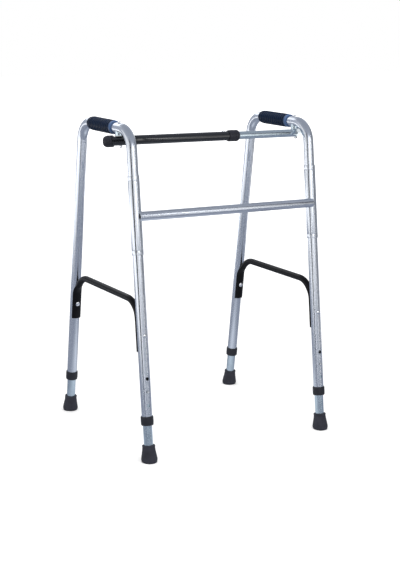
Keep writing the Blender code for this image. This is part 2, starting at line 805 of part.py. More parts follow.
def pivot_bolts(left, right, materials):
    """Bolts down through the top runs; the left one stops where its frame meets the bar."""
    seat = head_seat()
    down = Matrix.Translation((0, 0, seat)) @ Matrix.Rotation(math.pi, 4, "X")
    short = seat - BAR_R - GAP
    full = seat + RIGHT_TIP
    steel = materials["steel"]
    turned("left_pivot_bolt", bolt_profile(short), left.pivot, steel, SMALL_SIDES, down)
    turned("right_pivot_bolt", bolt_profile(full), right.pivot, steel, SMALL_SIDES, down)
    nut = nut_profile(-BAR_INNER_R - GAP - NUT_H)
    turned("right_pivot_nut", nut, right.pivot, steel, NUT_SIDES)


def main():
    clear_scene()
    materials = make_materials()
    left = SideFrames(LEFT)
    right = SideFrames(RIGHT)
    crossbar(left, right, materials)
    for sides, bar_radius in ((left, BAR_R), (right, BAR_INNER_R)):
        sleeve(sides, materials)
        frame_tube(sides, materials)
        grip(sides, materials)
        stop_rings(sides, materials)
        brace(sides, materials)
        brace_bolts(sides, materials)
        leg_parts(sides, materials)
        saddle(sides, bar_radius, materials)
    outer_bar(left, materials)
    inner_bar(right, materials)
    pivot_bolts(left, right, materials)


main()
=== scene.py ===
"""Finished surfaces of a folding walker, built over its fixed CAD frame.

Everything is in metres, in the frame's own axes: +Z is up, the front faces -Y, the feet rest on
Z = 0, and "left" is -X.
"""

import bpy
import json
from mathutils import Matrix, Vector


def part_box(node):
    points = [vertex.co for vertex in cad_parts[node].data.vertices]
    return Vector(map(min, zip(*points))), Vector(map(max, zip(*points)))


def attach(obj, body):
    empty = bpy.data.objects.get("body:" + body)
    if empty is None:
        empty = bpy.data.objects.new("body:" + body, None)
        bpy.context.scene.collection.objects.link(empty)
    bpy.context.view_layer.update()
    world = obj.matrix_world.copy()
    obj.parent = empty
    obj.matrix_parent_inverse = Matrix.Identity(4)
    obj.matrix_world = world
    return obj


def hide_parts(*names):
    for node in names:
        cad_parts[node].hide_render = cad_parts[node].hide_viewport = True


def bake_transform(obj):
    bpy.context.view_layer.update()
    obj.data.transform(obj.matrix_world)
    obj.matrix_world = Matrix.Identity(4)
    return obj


bl_info = {
    "name": "Folding Walker",
    "version": (1, 0, 0),
    "blender": (4, 5, 0),
    "location": "View3D > Sidebar > Walker",
    "description": "Builds the finished tubes, grips, brace, bar and feet of a folding walker",
    "category": "Object",
}

import json
import math

import bmesh
import bpy
import numpy as np
from mathutils import Matrix

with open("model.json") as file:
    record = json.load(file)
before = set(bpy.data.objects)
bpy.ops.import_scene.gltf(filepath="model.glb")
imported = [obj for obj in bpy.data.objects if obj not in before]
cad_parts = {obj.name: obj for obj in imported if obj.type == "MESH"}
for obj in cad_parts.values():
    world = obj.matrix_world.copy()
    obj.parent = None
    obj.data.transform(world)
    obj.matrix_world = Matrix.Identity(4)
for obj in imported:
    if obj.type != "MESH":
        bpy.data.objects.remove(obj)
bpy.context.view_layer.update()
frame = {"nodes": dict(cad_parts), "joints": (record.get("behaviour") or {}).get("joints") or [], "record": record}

SIDES = ("left", "right")
ENDS = ("front", "rear")
LEGS = tuple((side, end) for side in SIDES for end in ENDS)
X = np.array((1.0, 0.0, 0.0))
UP = np.array((0.0, 0.0, 1.0))

# Clearances, columns round large and small turned shapes, and the angle of a sharp edge
GAP = 0.0003
LOOSE = 0.0005
ROUND = 64
SMALL_ROUND = 40
SHARP = 35

# Spacing of the rows on a straight tube and on the brace, the closer rows on both sides of a
# hole, and the rows of each bend
RUN_SPACING = 0.030
BRACE_SPACING = 0.012
HOLE_ROOM = 0.009
HOLE_ROWS = 13
FRAME_BEND_ROWS = 25
BRACE_BEND_ROWS = 30
BAR_BEND_ROWS = 16
LEAF_FOLD_ROWS = 6

# Most of an edge that an eased corner may take, as a share of its length
EDGE_SHARE = 0.45

# Fasteners
HEAD_RADIUS = 0.0056
HEAD_HEIGHT = 0.0026
NUT_CORNER = 0.0046
NUT_HEIGHT = 0.0040
NUT_CHAMFER = 0.0005
BOLT_SPARE = 0.0018
LEFT_TIP = 0.0189
RIGHT_TIP = 0.0152
SADDLE_RADIUS = 0.0118

# Grip: ribs, their depth, the smooth band at each end, the rows of a rib, and the length of the painted sheen at
# its front end
GRIP_RIBS = 12
RIB_DEPTH = 0.0015
GRIP_BAND = 0.012
RIB_ROWS = 12
PAINTED_SHEEN_LENGTH = 0.013

# Brace: wrap of its pressed ends round the leg, and its wall
WRAP = math.radians(52)
BRACE_WALL = 0.0010

# Foot: height at which it stops following the floor
SOLE_HEIGHT = 0.0060

# Sprung leaf: half width, half thickness, length and the radius of its folds, and how far its
# near arm, its kink and its far arm reach, in radii of the pin
LEAF_HALF_WIDTH = 0.0033
LEAF_HALF = 0.0004
LEAF_LENGTH = 0.030
LEAF_FOLD = 0.0016
LEAF_ARMS = (1.6, 1.8, 1.2)

# Weld: height of its ripples as a share of the bead, and how fast they follow each other
RIPPLE = 0.16
RIPPLES = 58

# Telescoping bar
BAR_TURN = math.radians(45)
BAR_BUTTON_AT = 0.0170
BAR_INNER_END = 0.0750
CAP_LENGTH = 0.0205
CAP_END = 0.0038
PLUG_HEAD = 0.0030
PLUG_DEPTH = 0.0090

# Where the middle part of a noise pattern starts and ends
PATTERN_LOW, PATTERN_HIGH = 0.325, 0.675

# Camera fitted to the photograph: lens and sensor in millimetres, place and turns in degrees
LENS = 78.0
SENSOR = 36.0
CAMERA_SHIFT = -0.0014
CAMERA_PLACE = (-1.582, -2.640, 1.057)
CAMERA_YAW, CAMERA_PITCH, CAMERA_ROLL = 31.19, 12.78, 1.05

# Standing cards: name, bearing, half width and colour
CARDS = (("card_left", -27, 0.54, "3C3E44"), ("card_middle", 52, 0.21, "8E939E"),
         ("card_dark", 73.5, 0.24, "3C3E46"), ("card_right", 114, 1.65, "96999F"))
CARD_DISTANCE = 2.4
CARD_HALF_HEIGHT = 1.2

# Floor: half its side, how far it lies under the feet, and its glow near the object, out to the
# first distance, and beyond the second one. Then the world's strength as light
FLOOR_HALF = 14.0
FLOOR_DROP = 0.0002
FLOOR_GLOW = 0.22
GLOW_NEAR, GLOW_FAR = 0.7, 4.0
WORLD_LIGHT = 0.62

# The walker as the record has it
JOINTS = {joint["name"]: joint for joint in frame["joints"]}
MOUNTS = {mount["name"]: mount for mount in frame["record"]["mounts"]}
PIVOT = JOINTS["bar_pivot_turn"]["pos_m"]


def lean_of(joint):
    """Angle by which a joint's axis leans from upright towards +Y."""
    _, back, up = JOINTS[joint]["axis"]
    return math.atan2(back, up)


FRONT_LEAN = lean_of("right_fold")
REAR_LEAN = -lean_of("left_rear_leg_slide")
TRACK = 2 * MOUNTS["right_front_sole"]["pos_m"][0]
BASE_DEPTH = 2 * MOUNTS["right_rear_sole"]["pos_m"][1]
HOLE_PITCH = JOINTS["left_front_leg_slide"]["range_m"][1]


def linear(code):
    """Linear red, green and blue of an sRGB hex colour."""
    srgb = np.array([int(code[at:at + 2], 16) for at in (0, 2, 4)]) / 255
    return tuple(np.where(srgb <= 0.04045, srgb / 12.92, ((srgb + 0.055) / 1.055) ** 2.4))


def length(name, description, metres):
    """A size in metres that a user may change."""
    return bpy.props.FloatProperty(name=name, description=description, default=metres, min=0.0,
                                   precision=4, unit="LENGTH", subtype="DISTANCE")


def tint(name, description, code):
    """A colour that a user may change, from its sRGB hex value."""
    return bpy.props.FloatVectorProperty(name=name, description=description, size=3, min=0.0,
                                         max=1.0, subtype="COLOR", default=linear(code))


class WalkerSizes(bpy.types.PropertyGroup):
    """Sizes of the walker's pieces."""

    tube_od: length("Frame tube", "Outer diameter of the side frame tubes", 0.0254)
    tube_wall: length("Tube wall", "Wall of every tube", 0.0012)
    tube_bend: length("Frame bend", "Bend radius of the frame tube's centre line", 0.052)
    tube_end: length("Frame tube end", "Where the frame tube ends above the floor", 0.0945)
    grip_height: length("Grip height", "Height of the top run's centre line", 0.772)
    inner_od: length("Leg tube", "Outer diameter of the leg extensions", 0.0220)
    inner_top: length("Leg tube top", "Top of the leg extension inside the frame tube", 0.190)
    hole_radius: length("Height hole", "Radius of the height holes", 0.0042)
    button_at: length("Button height", "Where the leg's button sits along the leg", 0.1685)
    button_proud: length("Button", "How far a button stands out of its tube", 0.0026)
    foot_height: length("Foot", "Height of the rubber foot", 0.0402)
    foot_sole: length("Foot sole", "Thickness of rubber under the leg tube", 0.0090)
    bush_radius: length("Bush", "Radius of the bush at the end of the frame tube", 0.0153)
    bush_bottom: length("Bush bottom", "Lower end of the bush along the leg", 0.0885)
    bush_top: length("Bush top", "Upper end of the bush along the leg", 0.1100)
    sleeve_wall: length("Sleeve wall", "Wall of the crossbar's sleeves", 0.0012)
    sleeve_bottom: length("Sleeve bottom", "Lower end of the sleeve along the leg", 0.5030)
    sleeve_top: length("Sleeve top", "Upper end of the sleeve along the leg", 0.6640)
    ring_length: length("Stop ring", "Length of the rings beside the sleeve", 0.0110)
    cross_od: length("Crossbar", "Outer diameter of the crossbar", 0.0222)
    weld: length("Weld", "Thickness of the weld bead round the crossbar's ends", 0.0016)
    grip_radius: length("Grip", "Radius of the grip over its ribs", 0.0170)
    grip_length: length("Grip length", "Length of the grip", 0.128)
    brace_od: length("Brace", "Diameter of the side brace where it is round", 0.0160)
    brace_top: length("Brace height", "Height of the brace's top run", 0.375)
    brace_bend: length("Brace bend", "Bend radius of the brace's centre line", 0.055)
    brace_end: length("Brace end", "Lower ends of the brace along the legs", 0.2630)
    brace_flat: length("Brace flat", "Thickness of the pressed ends of the brace", 0.0030)
    screw_at: length("Brace bolt", "Where the brace bolts pass along the legs", 0.3025)
    bolt_radius: length("Bolt", "Radius of the bolts", 0.0025)
    bar_od: length("Bar tube", "Outer diameter of the telescoping bar's black tube", 0.0222)
    bar_set: length("Bar set", "How far the bar runs in front of its pivots", 0.0272)
    bar_bend: length("Bar bend", "Bend radius at the bar's ends", 0.048)
    bar_tail: length("Bar tail", "Length of the bar behind its pivot", 0.038)
    bar_mouth: length("Bar mouth", "End of the black tube to the right of the middle", 0.054)
    collar_radius: length("Collar", "Radius of the collar and of the end cap", 0.0140)


class WalkerColours(bpy.types.PropertyGroup):
    """Colours of the walker's finishes."""

    aluminium: tint("Aluminium", "Anodised aluminium tube", "DCE1E9")
    zinc: tint("Zinc", "Zinc plated steel tube", "D2E0E8")
    nickel: tint("Nickel", "Nickel plated bolts, nuts and buttons", "EBEDF0")
    enamel: tint("Enamel", "Gloss black paint of the bar", "0F1116")
    powder: tint("Powder coat", "Satin black coat of the braces", "0A0A0D")
    plastic: tint("Plastic", "Moulded plastic of bushes, collar and caps", "24252D")
    rubber: tint("Rubber", "Rubber of the feet", "2E2F39")
    vinyl: tint("Vinyl", "Navy vinyl of the grips", "081A32")
    # Paler front colour of the grips: a painted sheen, the light caught by their smooth front band put into the
    # colour
    vinyl_painted_sheen: tint("Vinyl at the front", "Paler vinyl of the grips' front end", "566F98")


class Place:
    """An origin whose X is the world's and whose Z leans from upright towards +Y."""

    def __init__(self, origin, lean):
        across, up = math.sin(lean), math.cos(lean)
        self.origin = np.array(origin, float)
        self.axes = np.array(((1, 0, 0), (0, up, -across), (0, across, up)))

    def at(self, points):
        """World points of points measured in this place."""
        return self.origin + np.asarray(points, float) @ self.axes


def side_sign(side):
    """Direction of a side along X."""
    return -1 if side == "left" else 1


def leg_place(side, end):
    """The leg's own axes, from the middle of its sole and up along the tube."""
    foot = (side_sign(side) * TRACK / 2, BASE_DEPTH / 2 * (1 if end == "rear" else -1), 0)
    return Place(foot, FRONT_LEAN if end == "front" else -REAR_LEAN)


def pivot_place(side):
    """The bar's pivot under a side frame, its Z along the bolt."""
    return Place((side_sign(side) * TRACK / 2, PIVOT[1], PIVOT[2]), FRONT_LEAN)


def outward(end):
    """Direction along Y from a leg away from the other leg of its side."""
    return -1 if end == "front" else 1


# Surfaces

def put(name, points, faces, uv, material, smooth=SHARP):
    """A mesh from whole arrays of points, four-cornered faces and the UV of each face corner.

    Points that coincide, as at a pole, are merged, and the faces are turned to point outwards.
    """
    mesh = bpy.data.meshes.new(name)
    mesh.from_pydata(points.reshape(-1, 3), [], faces.tolist())
    mesh.uv_layers.new(name="UVMap").data.foreach_set("uv", uv.ravel())
    bm = bmesh.new()
    bm.from_mesh(mesh)
    bmesh.ops.remove_doubles(bm, verts=bm.verts[:], dist=1e-7)
    bmesh.ops.dissolve_degenerate(bm, edges=bm.edges[:], dist=1e-7)
    bmesh.ops.recalc_face_normals(bm, faces=bm.faces[:])
    bm.to_mesh(mesh)
    bm.free()
    mesh.shade_smooth()
    mesh.set_sharp_from_angle(angle=math.radians(smooth))
    mesh.materials.append(material)
    piece = bpy.data.objects.new(name, mesh)
    bpy.context.scene.collection.objects.link(piece)
    return piece


def surface(name, grid, material, close_rows=False, smooth=SHARP):
    """Skin over a grid of points (rows, columns, 3) whose columns run round and close.

    With close_rows the last row joins the first. UV is in metres: u is the mean spacing of the
    columns times the column, and v the mean distance travelled from row to row.
    """
    rows, columns = grid.shape[:2]
    row, column = np.meshgrid(np.arange(rows if close_rows else rows - 1), np.arange(columns),
                              indexing="ij")
    below, beside = (row + 1) % rows, (column + 1) % columns
    corners = (row * columns + column, row * columns + beside,
               below * columns + beside, below * columns + column)
    faces = np.stack(corners, -1).reshape(-1, 4)
    pitch = np.linalg.norm(np.roll(grid, -1, 1) - grid, axis=2).max(0).mean()
    steps = np.linalg.norm(np.roll(grid, -1, 0) - grid, axis=2).mean(1)
    far = np.concatenate(([0.0], np.cumsum(steps)))
    u = np.stack((column, column + 1, column + 1, column), -1) * pitch
    v = np.stack((far[row], far[row], far[row + 1], far[row + 1]), -1)
    return put(name, grid, faces, np.stack((u, v), -1), material, smooth)


def soften(corners, cut, steps=5):
    """Corners eased by parabolas: each leaves its corner's edges at the same distance from it.

    A point at t is (1 - t)^2 times the start, 2 t (1 - t) times the corner and t^2 times the end.
    """
    corners = np.asarray(corners, float)
    cut = np.broadcast_to(np.asarray(cut, float), len(corners))[:, None]
    before = corners - np.roll(corners, 1, 0)
    after = np.roll(corners, -1, 0) - corners
    room_before = np.linalg.norm(before, axis=1, keepdims=True)
    room_after = np.linalg.norm(after, axis=1, keepdims=True)
    start = corners - before / room_before * np.minimum(cut, EDGE_SHARE * room_before)
    end = corners + after / room_after * np.minimum(cut, EDGE_SHARE * room_after)
    t = np.linspace(0, 1, steps)[None, :, None]
    eased = (start[:, None] * (1 - t) ** 2 + corners[:, None] * 2 * t * (1 - t)
             + end[:, None] * t ** 2)
    return eased.reshape(-1, corners.shape[1])


def angles(columns=ROUND):
    """Angles of columns evenly spaced round a circle."""
    return np.arange(columns) * 2 * math.pi / columns


def polar(radius, angle, height):
    """Points (r cos a, r sin a, z), with each array stretched to fit the others."""
    return np.stack(np.broadcast_arrays(radius * np.cos(angle), radius * np.sin(angle), height),
                    -1)


def spun(profile, columns=ROUND):
    """Grid of a turned shape: radius r and height z become (r cos a, r sin a, z)."""
    profile = np.asarray(profile, float)
    return polar(profile[:, :1], angles(columns), profile[:, 1:2])


def turned(name, profile, place, material, columns=ROUND):
    """A solid or a ring turned about a place's Z; a profile off the axis closes on itself."""
    ring = profile[0][0] > 0
    return surface(name, place.at(spun(profile, columns)), material, ring)


def bent(corners, radius, steps):
    """Points and headings along straight runs joined by arcs of a radius.

    On an arc the point is the centre plus radius times (ahead sin a - inside cos a).
    """
    corners = np.asarray(corners, float)
    runs = np.diff(corners, axis=0)
    runs /= np.linalg.norm(runs, axis=1, keepdims=True)
    points, headings = [corners[:1]], [runs[:1]]
    for corner, ahead, leave in zip(corners[1:-1], runs, runs[1:]):
        turn = math.acos(float(ahead @ leave))
        inside = leave - ahead * (leave @ ahead)
        inside /= np.linalg.norm(inside)
        centre = corner - ahead * radius * math.tan(turn / 2) + inside * radius
        angle = np.linspace(0, turn, steps)[:, None]
        points.append(centre + radius * (ahead * np.sin(angle) - inside * np.cos(angle)))
        headings.append(ahead * np.cos(angle) + inside * np.sin(angle))
    points.append(corners[-1:])
    headings.append(runs[-1:])
    return np.concatenate(points), np.concatenate(headings)


def between(points, headings, spacing, close=()):
    """The same path with points added on its straight runs, about a spacing apart.

    Round each distance in close the points stand closer, so that a hole there is cut cleanly. A
    distance runs along the path from its start, or back from its end if it is negative.
    """
    steps = np.linalg.norm(np.diff(points, axis=0), axis=1)
    far = np.concatenate(([0.0], np.cumsum(steps)))
    extra = [np.linspace(a, b, max(2, int((b - a) / spacing) + 1))[:-1]
             for a, b in zip(far, far[1:])]
    extra += [middle % far[-1] + np.linspace(-HOLE_ROOM, HOLE_ROOM, HOLE_ROWS)
              for middle in close]
    wanted = np.unique(np.round(np.concatenate(extra + [far[-1:]]), 5))
    wanted[-1] = far[-1]
    laid = [np.interp(wanted, far, values) for values in np.hstack((points, headings)).T]
    laid = np.stack(laid, -1)
    headings = laid[:, 3:] / np.linalg.norm(laid[:, 3:], axis=1, keepdims=True)
    return laid[:, :3], headings


def disc(radius):
    """Outline (r cos a, r sin a) of a round tube."""
    return polar(radius, angles(), 0)[:, :2]


def carried(path, across, outlines):
    """Grid of outlines (stations, columns, 2) carried along a path.

    A point is the station plus a times across plus b times (across x heading).
    """
    points, headings = path
    normals = np.cross(across, headings)
    a, b = outlines[..., :1], outlines[..., 1:]
    return points[:, None] + across * a + normals[:, None] * b


def walled(name, path, across, outer, inner, material):
    """A tube with a wall: its rows run up the outside and come back down the bore."""
    stations = len(path[0])
    outer = np.broadcast_to(outer, (stations,) + outer.shape[-2:])
    inner = np.broadcast_to(inner, (stations,) + inner.shape[-2:])
    grid = np.concatenate((carried(path, across, outer), carried(path, across, inner)[::-1]))
    return surface(name, grid, material, close_rows=True)


def tube(name, path, across, radius, wall, material):
    """A round tube with a wall, its circles carried along a path."""
    return walled(name, path, across, disc(radius), disc(radius - wall), material)


def along(aim):
    """Rows that turn a shape's own X, Y and Z so that its Z lies along an aim."""
    aim = np.array(aim, float)
    side = np.cross(aim, (0.3, 0.5, 0.8) if abs(aim[0]) > 0.5 else X)
    side /= np.linalg.norm(side)
    return np.stack((side, np.cross(aim, side), aim))


def pierced(piece, place, holes, reach):
    """Cut round holes, each given as a start, a direction and a radius in a place's axes."""
    for start, direction, radius in holes:
        pin = spun(((0, 0), (radius, 0), (radius, reach), (0, reach)), SMALL_ROUND)
        cutter = surface("cutter", place.at(np.array(start) + pin @ along(direction)),
                         piece.data.materials[0])
        modifier = piece.modifiers.new("hole", "BOOLEAN")
        modifier.operation = "DIFFERENCE"
        modifier.solver = "EXACT"
        modifier.object = cutter
        bpy.context.view_layer.update()
        seen = piece.evaluated_get(bpy.context.evaluated_depsgraph_get())
        cut = bpy.data.meshes.new_from_object(seen)
        piece.modifiers.clear()
        cut.set_sharp_from_angle(angle=math.radians(SHARP))
        piece.data = cut
        bpy.data.objects.remove(cutter)
    return piece


def fit(piece, body, slot, *nodes):
    """Hang a piece on a body in place of its CAD nodes; its slot is not used."""
    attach(piece, body)
    if nodes:
        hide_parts(*nodes)
    return piece


# Materials

def per(millimetres):
    """Repeats in a metre of a pattern of this size."""
    return 1000.0 / millimetres


def add(tree, kind, inputs=(), **settings):
    """Add a node with its settings, and set or link each of its inputs."""
    node = tree.nodes.new("ShaderNode" + kind)
    for name, value in settings.items():
        setattr(node, name, value)
    for name, value in dict(inputs).items():
        if isinstance(value, bpy.types.NodeSocket):
            tree.links.new(value, node.inputs[name])
        else:
            node.inputs[name].default_value = value
    return node


def begin(name, colour, **sockets):
    """A Principled material with its plain values set on the shader's own sockets."""
    made = bpy.data.materials.new(name)
    made.use_nodes = True
    shader = made.node_tree.nodes["Principled BSDF"]
    shader.inputs["Base Color"].default_value = (*colour, 1)
    for socket, value in sockets.items():
        shader.inputs[socket.replace("_", " ")].default_value = value
    return made, made.node_tree, shader


def shade(colour, share):
    """A share of a colour, darker under 1 and paler over it, for a node's colour socket."""
    return (*(min(1.0, part * share) for part in colour), 1)


def drawn_lines(tree, width, run):
    """Noise stretched along the tube, from the piece's own UV map in metres."""
    uv = add(tree, "UVMap", uv_map="UVMap").outputs["UV"]
    stretched = add(tree, "Mapping", {"Vector": uv, "Scale": (per(width), per(run), 1)})
    return add(tree, "TexNoise", {"Vector": stretched.outputs["Vector"], "Scale": 1.0,
                                  "Detail": 4.0, "Roughness": 0.6}).outputs["Fac"]


def grain(tree, size, detail=3.0):
    """Even noise of a size in millimetres, on the piece's own coordinates."""
    place = add(tree, "TexCoord").outputs["Object"]
    return add(tree, "TexNoise", {"Vector": place, "Scale": per(size), "Detail": detail,
                                  "Roughness": 0.55}).outputs["Fac"]


def clouded(tree, shader, pattern, colour, darkest, palest, start=PATTERN_LOW, end=PATTERN_HIGH):
    """Base colour from one share of a colour to another as a pattern rises past its middle."""
    share = add(tree, "MapRange", {"Value": pattern, "From Min": start, "From Max": end})
    tone = add(tree, "Mix", {0: share.outputs["Result"], 6: shade(colour, darkest),
                             7: shade(colour, palest)}, data_type="RGBA").outputs[2]
    tree.links.new(tone, shader.inputs["Base Color"])
    return tone


def roughened(tree, shader, pattern, low, high):
    """Roughness from one value to another as a pattern rises past its middle."""
    rough = add(tree, "MapRange", {"Value": pattern, "From Min": PATTERN_LOW,
                                   "From Max": PATTERN_HIGH, "To Min": low, "To Max": high})
    tree.links.new(rough.outputs["Result"], shader.inputs["Roughness"])


def relief(tree, shader, height, depth, strength):
    """Bump of a depth in metres from a pattern."""
    bump = add(tree, "Bump", {"Height": height, "Distance": depth, "Strength": strength})
    tree.links.new(bump.outputs["Normal"], shader.inputs["Normal"])


def anodised_aluminium(colours):
    """Drawn, brightened and clear anodised tube: silver, with faint lines along it that blur its
    long highlights across. The lines are drawn 0.8 mm apart, coarser than real, so they show."""
    made, tree, shader = begin("anodised_aluminium", colours.aluminium, Metallic=1.0)
    clouded(tree, shader, grain(tree, 30, 2.0), colours.aluminium, 0.97, 1.01)
    roughened(tree, shader, drawn_lines(tree, 0.8, 110), 0.21, 0.24)
    return made


def zinc_plate(colours):
    """Bright zinc plating on drawn steel: bluer than the aluminium, with cloudy patches under two
    centimetres across where the passivation is thicker, and faint drawing lines under it."""
    made, tree, shader = begin("zinc_plated_steel", colours.zinc, Metallic=1.0)
    clouded(tree, shader, grain(tree, 16), colours.zinc, 0.91, 1.03)
    roughened(tree, shader, drawn_lines(tree, 1.1, 60), 0.17, 0.23)
    return made


def nickel_plate(colours):
    """Nickel plated small steel pieces: bright and warm, with a fine tumbled grain."""
    made, tree, shader = begin("nickel_plated_steel", colours.nickel, Metallic=1.0)
    fine = grain(tree, 1.2)
    roughened(tree, shader, fine, 0.08, 0.13)
    relief(tree, shader, fine, 0.00001, 0.3)
    return made


def gloss_enamel(colours):
    """Sprayed black enamel: deep gloss with an orange peel of about 3 mm that ripples its
    highlights, and a few duller rubbed areas."""
    made, tree, shader = begin("gloss_black_enamel", colours.enamel, Specular_IOR_Level=0.5,
                               Coat_Weight=0.5, Coat_Roughness=0.08)
    rubbed = grain(tree, 35)
    clouded(tree, shader, rubbed, colours.enamel, 0.85, 1.3)
    roughened(tree, shader, rubbed, 0.10, 0.17)
    relief(tree, shader, grain(tree, 3.0, 1.5), 0.00006, 0.5)
    return made


def powder_coat(colours):
    """Baked powder coat: satin black with a fine pebbled skin of about 1 mm, which sparkles a
    little where the pebbles catch the light."""
    made, tree, shader = begin("satin_powder_coat", colours.powder, Specular_IOR_Level=0.18)
    pebble = grain(tree, 1.4, 2.0)
    clouded(tree, shader, grain(tree, 9, 4.0), colours.powder, 0.8, 1.4, 0.4, 0.7)
    roughened(tree, shader, pebble, 0.28, 0.38)
    relief(tree, shader, pebble, 0.00010, 0.5)
    return made


def moulded_plastic(colours):
    """Injection moulded polypropylene: matte from a spark-eroded mould, with a grain under a
    millimetre and slightly paler where it has been rubbed."""
    made, tree, shader = begin("moulded_polypropylene", colours.plastic, Specular_IOR_Level=0.35)
    fine = grain(tree, 0.9)
    clouded(tree, shader, grain(tree, 14), colours.plastic, 0.85, 1.25)
    roughened(tree, shader, fine, 0.38, 0.50)
    relief(tree, shader, fine, 0.00006, 0.5)
    return made


def moulded_rubber(colours):
    """Compression moulded rubber: dull charcoal with a chalky bloom in patches."""
    made, tree, shader = begin("moulded_rubber", colours.rubber, Specular_IOR_Level=0.35)
    fine = grain(tree, 1.1)
    clouded(tree, shader, grain(tree, 18, 4.0), colours.rubber, 0.85, 1.35)
    roughened(tree, shader, fine, 0.54, 0.68)
    relief(tree, shader, fine, 0.00006, 0.5)
    return made


def dipped_vinyl(colours):
    """Soft PVC grip: navy with a low sheen and a skin of about 1 mm grain, and paler towards its front end, a
    painted sheen for the light that its smooth front band catches."""
    made, tree, shader = begin("soft_pvc", colours.vinyl, Specular_IOR_Level=0.12)
    fine = grain(tree, 1.0)
    place = add(tree, "TexCoord").outputs["Object"]
    behind = add(tree, "SeparateXYZ", {"Vector": place}).outputs["Y"]
    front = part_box("left_grip")[0][1]
    # Painted sheen: over its front end the grip's colour turns to the paler front colour, standing in for light
    # caught there
    band = add(tree, "MapRange", {"Value": behind, "From Min": front,
                                  "From Max": front + PAINTED_SHEEN_LENGTH, "To Min": 1.0, "To Max": 0.0},
               interpolation_type="SMOOTHSTEP").outputs["Result"]
    tone = clouded(tree, shader, grain(tree, 20), colours.vinyl, 0.85, 1.2)
    tone = add(tree, "Mix", {0: band, 6: tone, 7: shade(colours.vinyl_painted_sheen, 1)},
               data_type="RGBA").outputs[2]
    tree.links.new(tone, shader.inputs["Base Color"])
    roughened(tree, shader, fine, 0.30, 0.40)
    relief(tree, shader, fine, 0.00005, 0.4)
    return made


MAKERS = {
    "aluminium": anodised_aluminium,
    "zinc": zinc_plate,
    "steel": nickel_plate,
    "black_paint": gloss_enamel,
    "satin_paint": powder_coat,
    "plastic": moulded_plastic,
    "rubber": moulded_rubber,
    "vinyl": dipped_vinyl,
}
MADE = {}


def finish(context, slot):
    """The material of a slot, made once."""
    if slot not in MADE:
        MADE[slot] = MAKERS[slot](context.scene.walker_colours)
    return MADE[slot]


# Pieces of a side frame

def leg_point(side, end, distance, inward):
    """Point at a distance up a leg, and inward from its axis towards the other leg."""
    return leg_place(side, end).at((0, -outward(end) * inward, distance))


def height_point(side, end, height, inward):
    """The same point, given its height instead of its distance up the leg."""
    lean = FRONT_LEAN if end == "front" else REAR_LEAN
    return leg_point(side, end, (height + inward * math.sin(lean)) / math.cos(lean), inward)


def make_frame_tube(context, side):
    """Bent tube: a circle carried up the front leg, along the grip and down the rear leg."""
    sizes = context.scene.walker_sizes
    corners = (leg_point(side, "front", sizes.tube_end, 0),
               height_point(side, "front", sizes.grip_height, 0),
               height_point(side, "rear", sizes.grip_height, 0),
               leg_point(side, "rear", sizes.tube_end, 0))
    spots = [sizes.button_at + step * HOLE_PITCH for step in (-1, 0, 1)]
    close = [spot - sizes.tube_end for spot in spots]
    path = between(*bent(corners, sizes.tube_bend, FRAME_BEND_ROWS), RUN_SPACING,
                   close + [-far for far in close])
    piece = tube(side + "_bent_tube", path, X, sizes.tube_od / 2, sizes.tube_wall,
                 finish(context, "aluminium"))
    for end in ENDS:
        holes = [((0, 0, spot), (0, outward(end), 0), sizes.hole_radius) for spot in spots]
        pierced(piece, leg_place(side, end), holes, sizes.tube_od)
    return fit(piece, side + "_frame", "aluminium", side + "_frame_tube")


def leg_band(context, name, side, low, high, ease):
    """Band round the front leg between two heights: a wall with eased outer corners, turned."""
    sizes = context.scene.walker_sizes
    bore = sizes.tube_od / 2 + GAP
    outside = bore + sizes.sleeve_wall
    profile = soften(((bore, low), (outside, low), (outside, high), (bore, high)),
                     (0, ease, ease, 0))
    return turned(name, profile, leg_place(side, "front"), finish(context, "aluminium"))


def make_stop_rings(context, side):
    """Rounded rings above and below the sleeve."""
    sizes = context.scene.walker_sizes
    starts = {"lower": sizes.sleeve_bottom - GAP - sizes.ring_length,
              "upper": sizes.sleeve_top + GAP}
    for word, low in starts.items():
        piece = leg_band(context, f"{side}_{word}_stop_ring", side, low, low + sizes.ring_length,
                         0.0007)
        fit(piece, side + "_frame", "aluminium", f"{side}_{word}_ring")


def make_grip(context, side):
    """Ribbed grip turned about the top run.

    Between its smooth end bands the radius falls from the rib's by the square of a raised cosine
    of the distance along it; the front end is round and a long chamfer closes the rear.
    """
    sizes = context.scene.walker_sizes
    radius, long, band = sizes.grip_radius, sizes.grip_length, GRIP_BAND
    bore, groove = sizes.tube_od / 2 + GAP, radius - RIB_DEPTH
    up_grip = np.linspace(band, long - band, GRIP_RIBS * RIB_ROWS + 1)
    wave = np.cos((up_grip - band) / (long - 2 * band) * GRIP_RIBS * 2 * math.pi)
    ribbed = np.stack((radius - RIB_DEPTH * (0.5 + 0.5 * wave) ** 2.0, up_grip), -1)
    front = soften(((bore, 0.0), (radius - 0.0014, 0.0), (radius - 0.0004, 0.0040),
                    (groove, band)), (0, 0.0014, 0.0030, 0))
    rear = soften(((groove, long - band), (radius - 0.0004, long - 0.0075),
                   (radius - 0.0030, long), (bore, long)), (0, 0.0025, 0.0010, 0))
    profile = np.concatenate((front[:-5], ribbed, rear[5:]))
    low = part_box(side + "_grip")[0]
    place = Place((side_sign(side) * TRACK / 2, low[1], sizes.grip_height), math.pi / 2)
    piece = turned(side + "_ribbed_grip", profile, place, finish(context, "vinyl"))
    return fit(piece, side + "_frame", "vinyl", side + "_grip")


